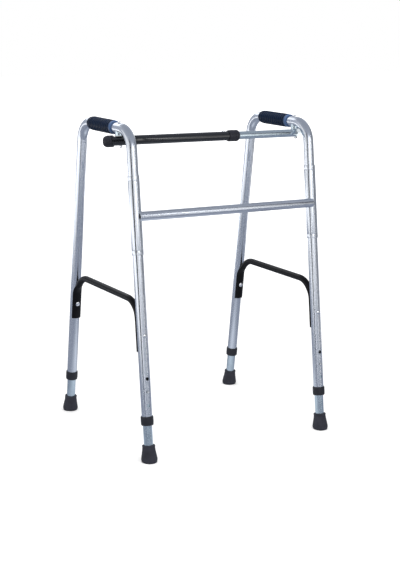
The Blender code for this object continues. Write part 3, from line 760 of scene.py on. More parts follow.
def brace_section(sizes, blend, inset, columns=44):
    """Cross-section of the brace at each station: a circle that turns into a crescent.

    With a as the angle round the tube, the circle is (r sin a, r cos a). The crescent is
    (R sin w, R cos w) less the path's offset, with w the wrap angle times sin a, and R the
    radius of its outer or inner face. The blend at a station goes straight from one to the other.
    An inset of 0 gives the outside, and 1 the inside of the wall.
    """
    bore = sizes.tube_od / 2 + GAP
    flat_wall = sizes.tube_wall * inset
    angle = angles(columns) + math.pi / columns
    reach = np.where(np.cos(angle) > 0, bore + sizes.brace_flat - flat_wall, bore + flat_wall)
    swing = (WRAP - flat_wall / bore) * np.sin(angle)
    radius = sizes.brace_od / 2 - BRACE_WALL * inset
    circle = np.stack((radius * np.sin(angle), radius * np.cos(angle)), -1)
    crescent = np.stack((reach * np.sin(swing),
                         reach * np.cos(swing) - bore - sizes.brace_flat / 2), -1)
    return circle + blend[:, None, None] * (crescent - circle)


def make_brace(context, side):
    """Inverted U between the legs, its ends pressed into crescents where they meet the legs."""
    sizes = context.scene.walker_sizes
    offset = sizes.tube_od / 2 + GAP + sizes.brace_flat / 2
    corners = (leg_point(side, "front", sizes.brace_end, offset),
               height_point(side, "front", sizes.brace_top, offset),
               height_point(side, "rear", sizes.brace_top, offset),
               leg_point(side, "rear", sizes.brace_end, offset))
    path = between(*bent(corners, sizes.brace_bend, BRACE_BEND_ROWS), BRACE_SPACING)
    lift = np.full(len(path[0]), np.inf)
    for end in ENDS:
        place = leg_place(side, end)
        inward = (path[0] - place.origin) @ place.axes[1] * -outward(end)
        lift = np.minimum(lift, inward - offset)
    blend = np.clip(1 - lift / (sizes.brace_od / 2 - sizes.brace_flat / 2), 0, 1)
    piece = walled(side + "_pressed_brace", path, -X, brace_section(sizes, blend, 0),
                   brace_section(sizes, blend, 1), finish(context, "satin_paint"))
    return fit(piece, side + "_frame", "satin_paint", side + "_brace")


# Bolts and nuts

def dome_bolt(name, place, start, aim, length_in, radius, material, tip=0.0):
    """Dome-headed bolt: head at the start, shank along the aim.

    The dome's height falls with the square of the distance from the axis.
    """
    out = np.linspace(0, 1, 9)
    dome = np.stack((HEAD_RADIUS * 0.97 * out, -HEAD_HEIGHT + 0.7 * HEAD_HEIGHT * out ** 2), -1)
    rim = np.array(((HEAD_RADIUS, -0.0006), (HEAD_RADIUS, -0.0001), (HEAD_RADIUS - 0.0002, 0)))
    end = np.array(((radius, 0), (radius, length_in - max(tip, 0.0012)),
                    (radius * 0.25 if tip else radius * 0.6, length_in), (0, length_in)))
    grid = np.array(start) + spun(np.concatenate((dome, rim, end)), SMALL_ROUND) @ along(aim)
    return surface(name, place.at(grid), material, smooth=40)


def hex_nut(name, place, start, aim, material, radius):
    """Hexagon nut: at angle a its radius is the flat's distance over cos of the angle from the
    middle of that flat, and at the two faces it is no more than the chamfer's circle."""
    angle = angles(72)
    flat = NUT_CORNER * math.cos(math.pi / 6)
    hexagon = flat / np.cos((angle + math.pi / 6) % (math.pi / 3) - math.pi / 6)
    eased = np.minimum(hexagon, flat * 1.03)
    bore = np.full_like(angle, radius + GAP)
    radii = np.stack((bore, eased, hexagon, hexagon, eased, bore))
    heights = np.array((0, 0, NUT_CHAMFER, NUT_HEIGHT - NUT_CHAMFER, NUT_HEIGHT, NUT_HEIGHT))
    grid = polar(radii, angle, heights[:, None])
    return surface(name, place.at(np.array(start) + grid @ along(aim)), material,
                   close_rows=True, smooth=25)


def make_brace_bolts(context, side):
    """Through bolts of the brace, their domes to the front and their nuts behind."""
    sizes = context.scene.walker_sizes
    steel = finish(context, "steel")
    for end in ENDS:
        name, place = f"{side}_{end}", leg_place(side, end)
        pressed = sizes.brace_flat + GAP
        near = sizes.tube_od / 2 + GAP
        ahead = near + (pressed if end == "rear" else 0)
        behind = near + (pressed if end == "front" else 0)
        long = ahead + behind + NUT_HEIGHT + BOLT_SPARE
        piece = dome_bolt(name + "_dome_bolt", place, (0, -ahead, sizes.screw_at), (0, 1, 0), long,
                          sizes.bolt_radius, steel)
        fit(piece, side + "_frame", "steel", name + "_brace_bolt")
        piece = hex_nut(name + "_hex_nut", place, (0, behind, sizes.screw_at), (0, 1, 0), steel,
                        sizes.bolt_radius)
        fit(piece, side + "_frame", "steel", name + "_brace_nut")


# Legs

def make_foot(context, side, end):
    """Bell-shaped rubber foot, turned and then sheared flat on the floor.

    The height falls by y times the tangent of the lean, all of it at the sole and none above the
    sole's height. Three grooves ring the sole, and a bead rounds the mouth.
    """
    sizes = context.scene.walker_sizes
    high, bore = sizes.foot_height, sizes.inner_od / 2 + GAP
    sole = ((0, 0), (0.0045, 0), (0.0050, 0.0008), (0.0060, 0.0008), (0.0065, 0),
            (0.0095, 0), (0.0100, 0.0008), (0.0110, 0.0008), (0.0115, 0), (0.0145, 0),
            (0.0150, 0.0008), (0.0160, 0.0008), (0.0165, 0))
    bell = soften(((0.0165, 0), (0.0182, 0), (0.0198, 0.0060), (0.0192, 0.0104),
                   (0.0165, 0.62 * high), (0.0154, 0.82 * high), (0.0153, 0.90 * high),
                   (0.0157, 0.94 * high), (0.0155, high), (bore, high)),
                  (0, 0.0006, 0.0020, 0.0030, 0.0040, 0.0015, 0.0008, 0.0010, 0.0008, 0))
    socket = ((bore, sizes.foot_sole), (0, sizes.foot_sole))
    grid = spun(np.concatenate((sole, bell[5:], socket)))
    lean = outward(end) * (FRONT_LEAN if end == "front" else REAR_LEAN)
    share = np.clip(1 - grid[..., 2] / SOLE_HEIGHT, 0, 1)
    grid[..., 2] -= grid[..., 1] * math.tan(lean) * share
    name = f"{side}_{end}"
    piece = surface(name + "_rubber_foot", leg_place(side, end).at(grid),
                    finish(context, "rubber"))
    return fit(piece, name + "_leg", "rubber", name + "_foot")


def make_inner_tube(context, side, end):
    """Zinc plated leg extension, a circle carried up the leg, with the button's hole."""
    sizes = context.scene.walker_sizes
    place, name = leg_place(side, end), f"{side}_{end}"
    ends = place.at(((0, 0, sizes.foot_sole + GAP), (0, 0, sizes.inner_top)))
    heading = np.repeat(place.axes[2:], 2, 0)
    path = between(ends, heading, RUN_SPACING, [sizes.button_at - sizes.foot_sole - GAP])
    piece = tube(name + "_leg_tube", path, X, sizes.inner_od / 2, sizes.tube_wall,
                 finish(context, "zinc"))
    pierced(piece, place, [((0, 0, sizes.button_at), (0, outward(end), 0), sizes.hole_radius)],
            sizes.tube_od)
    return fit(piece, name + "_leg", "zinc", name + "_inner_tube")


def make_bush(context, side, end):
    """Bush over the end of the frame tube: a rounded collar, necked to guide the inner tube."""
    sizes = context.scene.walker_sizes
    over, bore = sizes.tube_od / 2 + GAP, sizes.inner_od / 2 + GAP
    low, high, radius = sizes.bush_bottom, sizes.bush_top, sizes.bush_radius
    corners = ((bore, low), (radius - 0.0005, low), (radius, low + 0.0060),
               (radius, high - 0.0030), (radius - 0.0004, high), (over, high),
               (over, sizes.tube_end - GAP), (bore, sizes.tube_end - GAP))
    profile = soften(corners, (0.0003, 0.0016, 0.0010, 0.0008, 0.0009, 0.0003, 0, 0))
    name = f"{side}_{end}"
    piece = turned(name + "_end_bush", profile, leg_place(side, end), finish(context, "plastic"))
    return fit(piece, side + "_frame", "plastic", name + "_bush")


def make_button(context, name, place, spot, facing, up_tube, inside, outside, body, node):
    """Sprung button: a domed pin on a leaf folded in a V that springs against the bore.

    The dome's height falls by a power of the distance from the pin's axis.
    """
    sizes = context.scene.walker_sizes
    steel, radius = finish(context, "steel"), sizes.hole_radius - LOOSE
    facing, up_tube, spot = (np.array(part, float) for part in (facing, up_tube, spot))
    arm = math.sqrt(inside ** 2 - LEAF_HALF_WIDTH ** 2) - GAP - LEAF_HALF
    near, kink, far = (up_tube * reach * radius for reach in LEAF_ARMS)
    corners = np.array((spot + facing * arm + near, spot + facing * arm - kink,
                        spot - up_tube * LEAF_LENGTH, spot - facing * arm - far))
    path = bent(corners, LEAF_FOLD, LEAF_FOLD_ROWS)
    across = np.cross(up_tube, facing)
    strip = soften(((LEAF_HALF_WIDTH, LEAF_HALF), (-LEAF_HALF_WIDTH, LEAF_HALF),
                    (-LEAF_HALF_WIDTH, -LEAF_HALF), (LEAF_HALF_WIDTH, -LEAF_HALF)), 0.0002, 3)
    rows = np.broadcast_to(strip, (len(path[0]),) + strip.shape)
    grid = carried(path, across, rows)
    caps = np.broadcast_to(grid.mean(1, keepdims=True), grid.shape)
    leaf = surface(name + "_leaf", place.at(np.concatenate((caps[:1], grid, caps[-1:]))), steel)
    out = np.linspace(0, 1, 10)
    proud = outside + sizes.button_proud
    dome = np.stack((radius * out, proud - 0.55 * radius * out ** 2.4), -1)
    pin = np.concatenate((dome, ((radius, arm), (0, arm))))
    turn = np.stack((across, np.cross(facing, across), facing))
    head = surface(name + "_pin", place.at(spot + spun(pin, SMALL_ROUND) @ turn), steel)
    tuple(place.at(spot - facing * arm))
    tuple(place.at(spot + facing * arm))
    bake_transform(leaf)
    return fit(head, body, "steel", node)


def make_leg_button(context, side, end):
    """The button that holds a leg at its height, facing away from the other leg."""
    sizes, name = context.scene.walker_sizes, f"{side}_{end}"
    make_button(context, name + "_leg_button", leg_place(side, end), (0, 0, sizes.button_at),
                (0, outward(end), 0), (0, 0, 1), sizes.inner_od / 2 - sizes.tube_wall,
                sizes.tube_od / 2, name + "_button", name + "_clip")


# Crossbar

def make_sleeve(context, side):
    """Sleeve of the crossbar: a long band round the front leg, its ends just eased."""
    sizes = context.scene.walker_sizes
    piece = leg_band(context, side + "_crossbar_sleeve", side, sizes.sleeve_bottom,
                     sizes.sleeve_top, 0.0004)
    return fit(piece, "crossbar_body", "aluminium", side + "_sleeve")


def sleeve_reach(sizes):
    """Distance from the leg's axis to what rests on the sleeve."""
    return sizes.tube_od / 2 + 2 * GAP + sizes.sleeve_wall


def cross_rim(axis, radius, angle, x):
    """Points at x on a circle round the crossbar's axis, at an angle from behind it."""
    return np.stack(np.broadcast_arrays(x, axis[1] + radius * np.cos(angle),
                                        axis[2] + radius * np.sin(angle)), -1)


def bar_end(sizes, axis, radius, angle):
    """Half length of the crossbar on the line at an angle round it.

    The line stops where it meets the sleeve: half the track less the root of the sleeve's radius
    squared less the line's distance from the sleeve's axis squared, and never nearer the middle
    of the leg than the bar's own end.
    """
    place = leg_place("right", "front")
    off = (cross_rim(axis, radius, angle, 0) - place.origin) @ place.axes[1]
    reach = np.sqrt(np.clip(sleeve_reach(sizes) ** 2 - off ** 2, 0, None))
    return np.minimum(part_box("crossbar")[1][0], TRACK / 2 - reach)


def make_crossbar(context):
    """Crossbar: lines parallel to X round a circle, each ending where it meets the sleeves."""
    sizes = context.scene.walker_sizes
    low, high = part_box("crossbar")
    axis = (np.array(low) + np.array(high)) / 2
    angle, rows = angles(), np.linspace(-1, 1, 41)[:, None]
    outer, inner = (cross_rim(axis, radius, angle, bar_end(sizes, axis, radius, angle) * rows)
                    for radius in (sizes.cross_od / 2, sizes.cross_od / 2 - sizes.tube_wall))
    grid = np.concatenate((outer, inner[::-1]))
    piece = surface("front_crossbar", grid, finish(context, "aluminium"), close_rows=True)
    fit(piece, "crossbar_body", "aluminium", "crossbar")
    for side in SIDES:
        make_weld(context, side, axis)


def make_weld(context, side, axis):
    """Weld bead: a small rippled circle carried round the part of the bar's rim that meets the
    sleeve, its radius falling to nothing at both ends of that part."""
    sizes = context.scene.walker_sizes
    place, radius = leg_place("right", "front"), sizes.cross_od / 2
    short = TRACK / 2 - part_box("crossbar")[1][0]
    behind = float((axis - place.origin) @ place.axes[1])
    reach = math.acos((-math.sqrt(sleeve_reach(sizes) ** 2 - short ** 2) - behind) / radius)
    part = np.linspace(-1, 1, 97)
    angle = part * reach - FRONT_LEAN
    bead = sizes.weld / 2 * (1 + RIPPLE * np.sin(part * RIPPLES)) * np.sqrt(1 - part ** 8)
    end = bar_end(sizes, axis, radius, angle) * side_sign(side)
    rim = cross_rim(axis, radius, angle, end)
    out = cross_rim(np.zeros(3), 1, angle, 0)
    turn = angles(16)
    grid = (rim[:, None] + out[:, None] * (bead[:, None] * np.cos(turn))[..., None]
            + X * (bead[:, None] * np.sin(turn))[..., None])
    piece = surface(side + "_weld_bead", grid, finish(context, "aluminium"), smooth=80)
    return fit(piece, "crossbar_body", "aluminium")


# Telescoping bar

def bar_radius(sizes, side):
    """Outer radius of a half of the bar: the right one slides in the left one."""
    return sizes.bar_od / 2 - (sizes.tube_wall + GAP if side == "right" else 0)


def bar_path(context, side, run_end, tail, hole):
    """Centre line of a half of the bar in its pivot's axes: the run, a bend and the tail.

    The button's hole is at a distance from the run's end.
    """
    sizes = context.scene.walker_sizes
    sign = side_sign(side)
    corners = ((run_end, -sizes.bar_set, 0),
               (-sign * sizes.bar_set / math.tan(BAR_TURN), -sizes.bar_set, 0),
               (sign * tail * math.cos(BAR_TURN), tail * math.sin(BAR_TURN), 0))
    points, headings = between(*bent(corners, sizes.bar_bend, BAR_BEND_ROWS), RUN_SPACING,
                               (hole,))
    place = pivot_place(side)
    return place.at(points), headings @ place.axes


def tail_place(side, distance):
    """Grid mover for turned shapes at a distance along the tail, their Z out along it."""
    aim = np.array((side_sign(side) * math.cos(BAR_TURN), math.sin(BAR_TURN), 0))
    axes = np.stack((UP, np.cross(aim, UP), aim))
    return lambda grid: pivot_place(side).at(aim * distance + grid @ axes)


def run_place(side, x):
    """Grid mover for turned shapes on the bar's straight run, their Z along +X."""
    sizes = bpy.context.scene.walker_sizes
    axes = np.array(((0, 0, -1), (0, 1, 0), (1, 0, 0)), float)
    return lambda grid: pivot_place(side).at(np.array((x, -sizes.bar_set, 0)) + grid @ axes)


def make_outer_bar(context):
    """Black half of the bar with its collar and end cap."""
    sizes = context.scene.walker_sizes
    radius, place = bar_radius(sizes, "left"), pivot_place("left")
    run_end = TRACK / 2 + sizes.bar_mouth
    path = bar_path(context, "left", run_end, sizes.bar_tail, sizes.bar_mouth - BAR_BUTTON_AT)
    piece = tube("bar_black_tube", path, place.axes[2], radius, sizes.tube_wall,
                 finish(context, "black_paint"))
    spot = (TRACK / 2 + BAR_BUTTON_AT, -sizes.bar_set, 0)
    pierced(piece, place, [(spot, (0, 0, 1), sizes.hole_radius)], sizes.bar_od)
    fit(piece, "bar_outer", "black_paint", "bar_outer_tube")
    over, bore = radius + GAP, radius - sizes.tube_wall
    big = sizes.collar_radius
    corners = ((over, -0.0250), (big - 0.0012, -0.0250), (big, -0.0225), (big, -0.0085),
               (big - 0.0007, -0.0078), (big - 0.0007, -0.0068), (big, -0.0061), (big, 0.0008),
               (big - 0.0020, 0.0040), (bore, 0.0040), (bore, GAP), (over, GAP))
    cut = (0, 0.0006, 0.0010, 0.0002, 0.0002, 0.0002, 0.0002, 0.0012, 0.0008, 0.0003, 0, 0)
    grid = run_place("left", run_end)(spun(soften(corners, cut)))
    piece = surface("bar_lipped_collar", grid, finish(context, "plastic"), close_rows=True)
    fit(piece, "bar_outer", "plastic", "bar_collar")
    corners = ((0, GAP), (over, GAP), (over, GAP - CAP_LENGTH), (big - 0.0008, GAP - CAP_LENGTH),
               (big, 0.0015 - CAP_LENGTH), (big, -0.0030), (big - 0.0040, CAP_END - 0.0002),
               (0, CAP_END))
    grid = spun(soften(corners, (0, 0, 0, 0.0004, 0.0008, 0.0040, 0.0030, 0))[4:-4])
    piece = surface("bar_round_cap", tail_place("left", sizes.bar_tail)(grid),
                    finish(context, "plastic"))
    fit(piece, "bar_outer", "plastic", "bar_outer_cap")


def make_inner_bar(context):
    """Zinc plated half of the bar with the plug in its tail."""
    sizes = context.scene.walker_sizes
    radius, place = bar_radius(sizes, "right"), pivot_place("right")
    tail = sizes.bar_tail + sizes.collar_radius - radius - PLUG_HEAD
    path = bar_path(context, "right", -BAR_INNER_END - TRACK / 2, tail,
                    BAR_INNER_END + BAR_BUTTON_AT)
    piece = tube("bar_zinc_tube", path, place.axes[2], radius, sizes.tube_wall,
                 finish(context, "zinc"))
    spot = (BAR_BUTTON_AT - TRACK / 2, -sizes.bar_set, 0)
    pierced(piece, place, [(spot, (0, 0, 1), sizes.hole_radius)], sizes.bar_od)
    fit(piece, "bar_inner", "zinc", "bar_inner_tube")
    inside = radius - sizes.tube_wall - GAP
    corners = ((0, -PLUG_DEPTH), (inside, -PLUG_DEPTH), (inside, GAP), (radius, GAP),
               (radius, PLUG_HEAD), (radius - 0.0008, PLUG_HEAD + 0.0008), (0, PLUG_HEAD + 0.0008))
    grid = spun(soften(corners, (0, 0.0005, 0, 0, 0.0006, 0.0006, 0))[4:-4])
    piece = surface("bar_tail_plug", tail_place("right", tail)(grid), finish(context, "plastic"))
    fit(piece, "bar_inner", "plastic", "bar_inner_cap")


def make_bar_button(context):
    """The button on top of the telescoping bar."""
    sizes = context.scene.walker_sizes
    make_button(context, "bar_lock_button", pivot_place("right"),
                (BAR_BUTTON_AT - TRACK / 2, -sizes.bar_set, 0), (0, 0, 1), (-1, 0, 0),
                sizes.bar_od / 2 - 2 * sizes.tube_wall - GAP, sizes.bar_od / 2,
                "bar_button", "bar_clip")


def finish_guide_plug(context):
    """The guide plug inside the bar keeps its CAD shape and gets the moulded plastic."""
    for slot in frame["nodes"]["bar_guide_plug"].material_slots:
        slot.material = finish(context, "plastic")


def axis_rise(sizes):
    """Distance up the pivot's bolt from the bar's axis to the top run's axis."""
    return (sizes.grip_height - PIVOT[2]) / math.cos(FRONT_LEAN)


def make_saddle(context, side):
    """Saddle washer between the bar and the frame tube, its top hollowed to the tube.

    At (x, y) the hollow's height is the axis's, less the root of R squared less x squared and
    less y times the sine of the lean, over the cosine of the lean.
    """
    sizes = context.scene.walker_sizes
    seat = bar_radius(sizes, side) + GAP
    tube_radius = sizes.tube_od / 2 + GAP
    reach = np.array((0.0, 0.25, 0.5, 0.75, 0.95, 1.0, 1.0, 0.96, 0.0)) * SADDLE_RADIUS
    x, y = np.moveaxis(polar(reach[:, None], angles(56), 0)[..., :2], -1, 0)
    sine, cosine = math.sin(FRONT_LEAN), math.cos(FRONT_LEAN)
    hollow = axis_rise(sizes) - (np.sqrt(tube_radius ** 2 - x ** 2) + y * sine) / cosine
    hollow[4] -= 0.0001
    hollow[5] -= 0.0004
    hollow[6], hollow[7], hollow[8] = seat + 0.0005, seat, seat
    grid = pivot_place(side).at(np.stack((x, y, hollow), -1))
    piece = surface(side + "_saddle_washer", grid, finish(context, "zinc"), smooth=40)
    return fit(piece, side + "_frame", "zinc", side + "_pivot_saddle")


def make_pivot_bolts(context):
    """Bolts down through the top runs, with pointed tips and hexagon nuts under the bar."""
    sizes = context.scene.walker_sizes
    steel, radius = finish(context, "steel"), sizes.bolt_radius
    crown = axis_rise(sizes) + (sizes.tube_od / 2 + GAP) / math.cos(FRONT_LEAN)
    seat = crown + HEAD_RADIUS * math.tan(FRONT_LEAN)
    under = bar_radius(sizes, "left") + GAP
    left, right = pivot_place("left"), pivot_place("right")
    piece = dome_bolt("left_upper_bolt", left, (0, 0, seat), (0, 0, -1), seat - under, radius,
                      steel)
    fit(piece, "left_frame", "steel", "left_pivot_bolt")
    piece = dome_bolt("right_long_bolt", right, (0, 0, seat), (0, 0, -1), seat + RIGHT_TIP, radius,
                      steel, tip=0.0030)
    fit(piece, "right_frame", "steel", "right_pivot_bolt")
    profile = ((0, -LEFT_TIP), (radius * 0.25, 0.0002 - LEFT_TIP), (radius, 0.0034 - LEFT_TIP),
               (radius, under - 2 * GAP), (0, under - 2 * GAP))
    piece = turned("left_lower_bolt", profile, left, steel, SMALL_ROUND)
    fit(piece, "bar_outer", "steel", "left_pivot_stud")
    piece = hex_nut("left_bar_nut", left, (0, 0, -under), (0, 0, -1), steel, radius)
    fit(piece, "bar_outer", "steel", "left_pivot_nut")
    under = bar_radius(sizes, "right") + GAP
    piece = hex_nut("right_bar_nut", right, (0, 0, -under), (0, 0, -1), steel, radius)
    fit(piece, "right_frame", "steel", "right_pivot_nut")


# Stage

def standing(axes, place):
    """World matrix of a thing whose own X, Y and Z point along three axes."""
    matrix = np.eye(4)
    matrix[:3, :3] = np.stack(axes, -1)
    matrix[:3, 3] = place
    return Matrix(matrix)


def make_camera(context):
    """Camera at the photograph's place."""
    data = bpy.data.cameras.new("camera")
    data.lens, data.sensor_width, data.shift_x = LENS, SENSOR, CAMERA_SHIFT
    yaw, pitch, roll = np.radians((CAMERA_YAW, CAMERA_PITCH, CAMERA_ROLL)).tolist()
    ahead = np.array((math.sin(yaw) * math.cos(pitch), math.cos(yaw) * math.cos(pitch),
                      -math.sin(pitch)))
    right = np.array((math.cos(yaw), -math.sin(yaw), 0.0))
    up = np.cross(right, ahead)
    across = right * math.cos(roll) + up * math.sin(roll)
    above = up * math.cos(roll) - right * math.sin(roll)
    camera = bpy.data.objects.new("camera", data)
    camera.matrix_world = standing((across, above, -ahead), CAMERA_PLACE)
    context.scene.collection.objects.link(camera)
    context.scene.camera = camera


def flat_sheet(context, name, centre, across, up, material):
    """A rectangle from its centre and the halves of its two sides."""
    centre, across, up = (np.array(part, float) for part in (centre, across, up))
    corners = np.stack((centre - across - up, centre + across - up, centre + across + up,
                        centre - across + up))
    mesh = bpy.data.meshes.new(name)
    mesh.from_pydata(corners, [], [(0, 1, 2, 3)])
    mesh.materials.append(material)
    sheet = bpy.data.objects.new(name, mesh)
    context.scene.collection.objects.link(sheet)
    return sheet


def seen_share(tree):
    """1 for rays from the camera, a glossy or a clear surface, and 0 for all others."""
    ray = add(tree, "LightPath").outputs
    either = add(tree, "Math", {0: ray["Is Camera Ray"], 1: ray["Is Glossy Ray"]},
                 operation="MAXIMUM")
    return add(tree, "Math", {0: either.outputs[0], 1: ray["Is Transmission Ray"]},
               operation="MAXIMUM").outputs[0]


def away_share(tree, near, far, low=0.0, high=1.0):
    """From low to high as a point goes from near to far, in metres from the origin."""
    place = add(tree, "TexCoord").outputs["Object"]
    away = add(tree, "VectorMath", {0: place}, operation="LENGTH").outputs["Value"]
    return add(tree, "MapRange", {"Value": away, "From Min": near, "From Max": far, "To Min": low,
                                  "To Max": high}).outputs["Result"]


def stage_material(name):
    """An empty material for the stage, seen but not sampled as a lamp, and its node tree."""
    made = bpy.data.materials.new(name)
    made.use_nodes = True
    made.cycles.emission_sampling = "NONE"
    made.node_tree.nodes.clear()
    return made, made.node_tree


def make_floor(context):
    """Pale floor, white where it is seen or mirrored, that keeps the object's shadow.

    Its own glow grows with the distance, so that it stays white out to the horizon.
    """
    made, tree = stage_material("pale_floor")
    plain = add(tree, "BsdfDiffuse", {"Color": (0.80, 0.80, 0.80, 1)})
    white = add(tree, "BsdfDiffuse", {"Color": (0.98, 0.98, 0.98, 1)})
    glow = add(tree, "Emission", {"Color": (1, 1, 1, 1),
                                  "Strength": away_share(tree, GLOW_NEAR, GLOW_FAR, FLOOR_GLOW)})
    seen = add(tree, "AddShader", {0: white.outputs[0], 1: glow.outputs[0]})
    mixed = add(tree, "MixShader", {0: seen_share(tree), 1: plain.outputs[0], 2: seen.outputs[0]})
    add(tree, "OutputMaterial", {"Surface": mixed.outputs[0]})
    flat_sheet(context, "floor", (0, 0, -FLOOR_DROP), (FLOOR_HALF, 0, 0), (0, FLOOR_HALF, 0), made)


def make_world(context):
    """White studio all round: full white where it is seen or mirrored, and softer as light."""
    world = bpy.data.worlds.new("studio")
    world.use_nodes = True
    tree = world.node_tree
    tree.nodes.clear()
    strength = add(tree, "MapRange", {"Value": seen_share(tree), "To Min": WORLD_LIGHT})
    sky = add(tree, "Background", {"Color": (1, 1, 1, 1), "Strength": strength.outputs["Result"]})
    add(tree, "OutputWorld", {"Surface": sky.outputs[0]})
    context.scene.world = world


def card(context, name, centre, across, up, near, far=None, reach=()):
    """A card beside the object that only its glossy surfaces see.

    With a far colour it turns from the near one to it over a reach, in metres from the origin.
    """
    made, tree = stage_material(name)
    tone = (*linear(near), 1)
    if far:
        tone = add(tree, "Mix", {0: away_share(tree, *reach), 6: tone, 7: (*linear(far), 1)},
                   data_type="RGBA").outputs[2]
    glow = add(tree, "Emission", {"Color": tone, "Strength": 1.0})
    add(tree, "OutputMaterial", {"Surface": glow.outputs[0]})
    sheet = flat_sheet(context, name, centre, across, up, made)
    sheet.visible_camera = False
    sheet.visible_diffuse = False
    sheet.visible_shadow = False
    sheet.visible_transmission = False


def bearing(degrees):
    """Level direction at an angle from the way to the camera, positive to its right."""
    angle = math.radians(CAMERA_YAW - degrees)
    return np.array((-math.sin(angle), -math.cos(angle), 0.0))


def make_cards(context):
    """Dark and grey cards round the object, which draw the long stripes on its tubes.

    Four stand round it. One hangs overhead and one behind, so that the tubes' edges stand out
    from the white. A low one and one on the floor, paler near the feet, tone the legs.
    """
    high = UP * CARD_HALF_HEIGHT
    for name, degrees, half, colour in CARDS:
        aim = bearing(degrees)
        card(context, name, aim * CARD_DISTANCE + high, np.cross(aim, UP) * half, high, colour)
    card(context, "card_above", (0, 0, 2.6), (4, 0, 0), (0, 4, 0), "A0A5B0", "BCC0C9", (2.5, 5.0))
    card(context, "card_behind", (0, 4, 1.3), (4, 0, 0), UP * 1.3, "B0B5C0")
    aim = bearing(24)
    card(context, "card_low", aim * 2.3 + UP * 0.20, np.cross(aim, UP), UP * 0.20, "ACB1BB")
    card(context, "card_floor", (0, 0, 0.0004), (1.9, 0, 0), (0, 1.9, 0), "E0E6F0", "989EAC",
         (0.05, 0.5))


def soft_box(context, name, place, target, size, power, mirrored=True):
    """Rectangular lamp that faces a target, of a power in watts, and may show in glossy metal."""
    data = bpy.data.lights.new(name, "AREA")
    data.shape = "RECTANGLE"
    data.size, data.size_y = size
    data.energy = power
    lamp = bpy.data.objects.new(name, data)
    back = np.array(place, float) - np.array(target, float)
    back /= np.linalg.norm(back)
    right = np.cross(UP, back)
    right /= np.linalg.norm(right)
    lamp.matrix_world = standing((right, np.cross(back, right), back), place)
    lamp.visible_camera = False
    lamp.visible_glossy = mirrored
    context.scene.collection.objects.link(lamp)


def make_lights(context):
    """A tall soft box right of the camera, two narrow ones beside it whose reflections are the
    short highlights of the two bars, a wide one above that no metal mirrors, and one behind for
    the tops of the braces."""
    soft_box(context, "box_right", bearing(26) * 2.6 + UP * 1.42, (0, 0, 0.5), (1.1, 1.6), 6.0)
    soft_box(context, "box_bar", (0.92, -2.0, 1.35), (0, 0, 0.7), (0.055, 1.14), 1.1)
    soft_box(context, "box_cross", (1.01, -2.0, 1.20), (0, 0, 0.6), (0.09, 0.6), 0.25)
    soft_box(context, "box_above", (-0.2, -0.3, 2.4), (0, 0, 0.3), (1.6, 1.6), 24, False)
    soft_box(context, "box_behind", (-0.1, 2.4, 2.0), (0, 0, 0.5), (2.0, 0.9), 7)


def make_stage(context):
    """Camera, floor, world, cards and lights, with the Standard view."""
    context.scene.view_settings.view_transform = "Standard"
    make_camera(context)
    make_floor(context)
    make_world(context)
    make_cards(context)
    make_lights(context)


# Operators

class WALKER_OT_frame_tubes(bpy.types.Operator):
    """Bend the aluminium tubes of the side frames"""

    bl_idname = "walker.frame_tubes"
    bl_label = "Frame tubes"

    def execute(self, context):
        for side in SIDES:
            make_frame_tube(context, side)
        return {"FINISHED"}


class WALKER_OT_stop_rings(bpy.types.Operator):
    """Put the rings above and below the sleeves"""

    bl_idname = "walker.stop_rings"
    bl_label = "Stop rings"

    def execute(self, context):
        for side in SIDES:
            make_stop_rings(context, side)
        return {"FINISHED"}


class WALKER_OT_grips(bpy.types.Operator):
    """Mould the ribbed navy grips"""

    bl_idname = "walker.grips"
    bl_label = "Grips"

    def execute(self, context):
        for side in SIDES:
            make_grip(context, side)
        return {"FINISHED"}


class WALKER_OT_braces(bpy.types.Operator):
    """Press the side braces"""

    bl_idname = "walker.braces"
    bl_label = "Braces"

    def execute(self, context):
        for side in SIDES:
            make_brace(context, side)
        return {"FINISHED"}


class WALKER_OT_brace_bolts(bpy.types.Operator):
    """Put in the braces' domed bolts and their nuts"""

    bl_idname = "walker.brace_bolts"
    bl_label = "Brace bolts"

    def execute(self, context):
        for side in SIDES:
            make_brace_bolts(context, side)
        return {"FINISHED"}


class WALKER_OT_feet(bpy.types.Operator):
    """Mould the bell-shaped rubber feet"""

    bl_idname = "walker.feet"
    bl_label = "Feet"

    def execute(self, context):
        for side, end in LEGS:
            make_foot(context, side, end)
        return {"FINISHED"}


class WALKER_OT_leg_tubes(bpy.types.Operator):
    """Draw the zinc plated leg extensions"""

    bl_idname = "walker.leg_tubes"
    bl_label = "Leg tubes"

    def execute(self, context):
        for side, end in LEGS:
            make_inner_tube(context, side, end)
        return {"FINISHED"}


class WALKER_OT_bushes(bpy.types.Operator):
    """Mould the bushes at the ends of the frame tubes"""

    bl_idname = "walker.bushes"
    bl_label = "Bushes"

    def execute(self, context):
        for side, end in LEGS:
            make_bush(context, side, end)
        return {"FINISHED"}


class WALKER_OT_sleeves(bpy.types.Operator):
    """Turn the sleeves of the crossbar"""

    bl_idname = "walker.sleeves"
    bl_label = "Sleeves"

    def execute(self, context):
        for side in SIDES:
            make_sleeve(context, side)
        return {"FINISHED"}


class WALKER_OT_crossbar(bpy.types.Operator):
    """Draw the crossbar and lay its welds"""

    bl_idname = "walker.crossbar"
    bl_label = "Crossbar"

    def execute(self, context):
        make_crossbar(context)
        return {"FINISHED"}


class WALKER_OT_outer_bar(bpy.types.Operator):
    """Bend the black half of the telescoping bar, with its collar and cap"""

    bl_idname = "walker.outer_bar"
    bl_label = "Black bar"

    def execute(self, context):
        make_outer_bar(context)
        return {"FINISHED"}


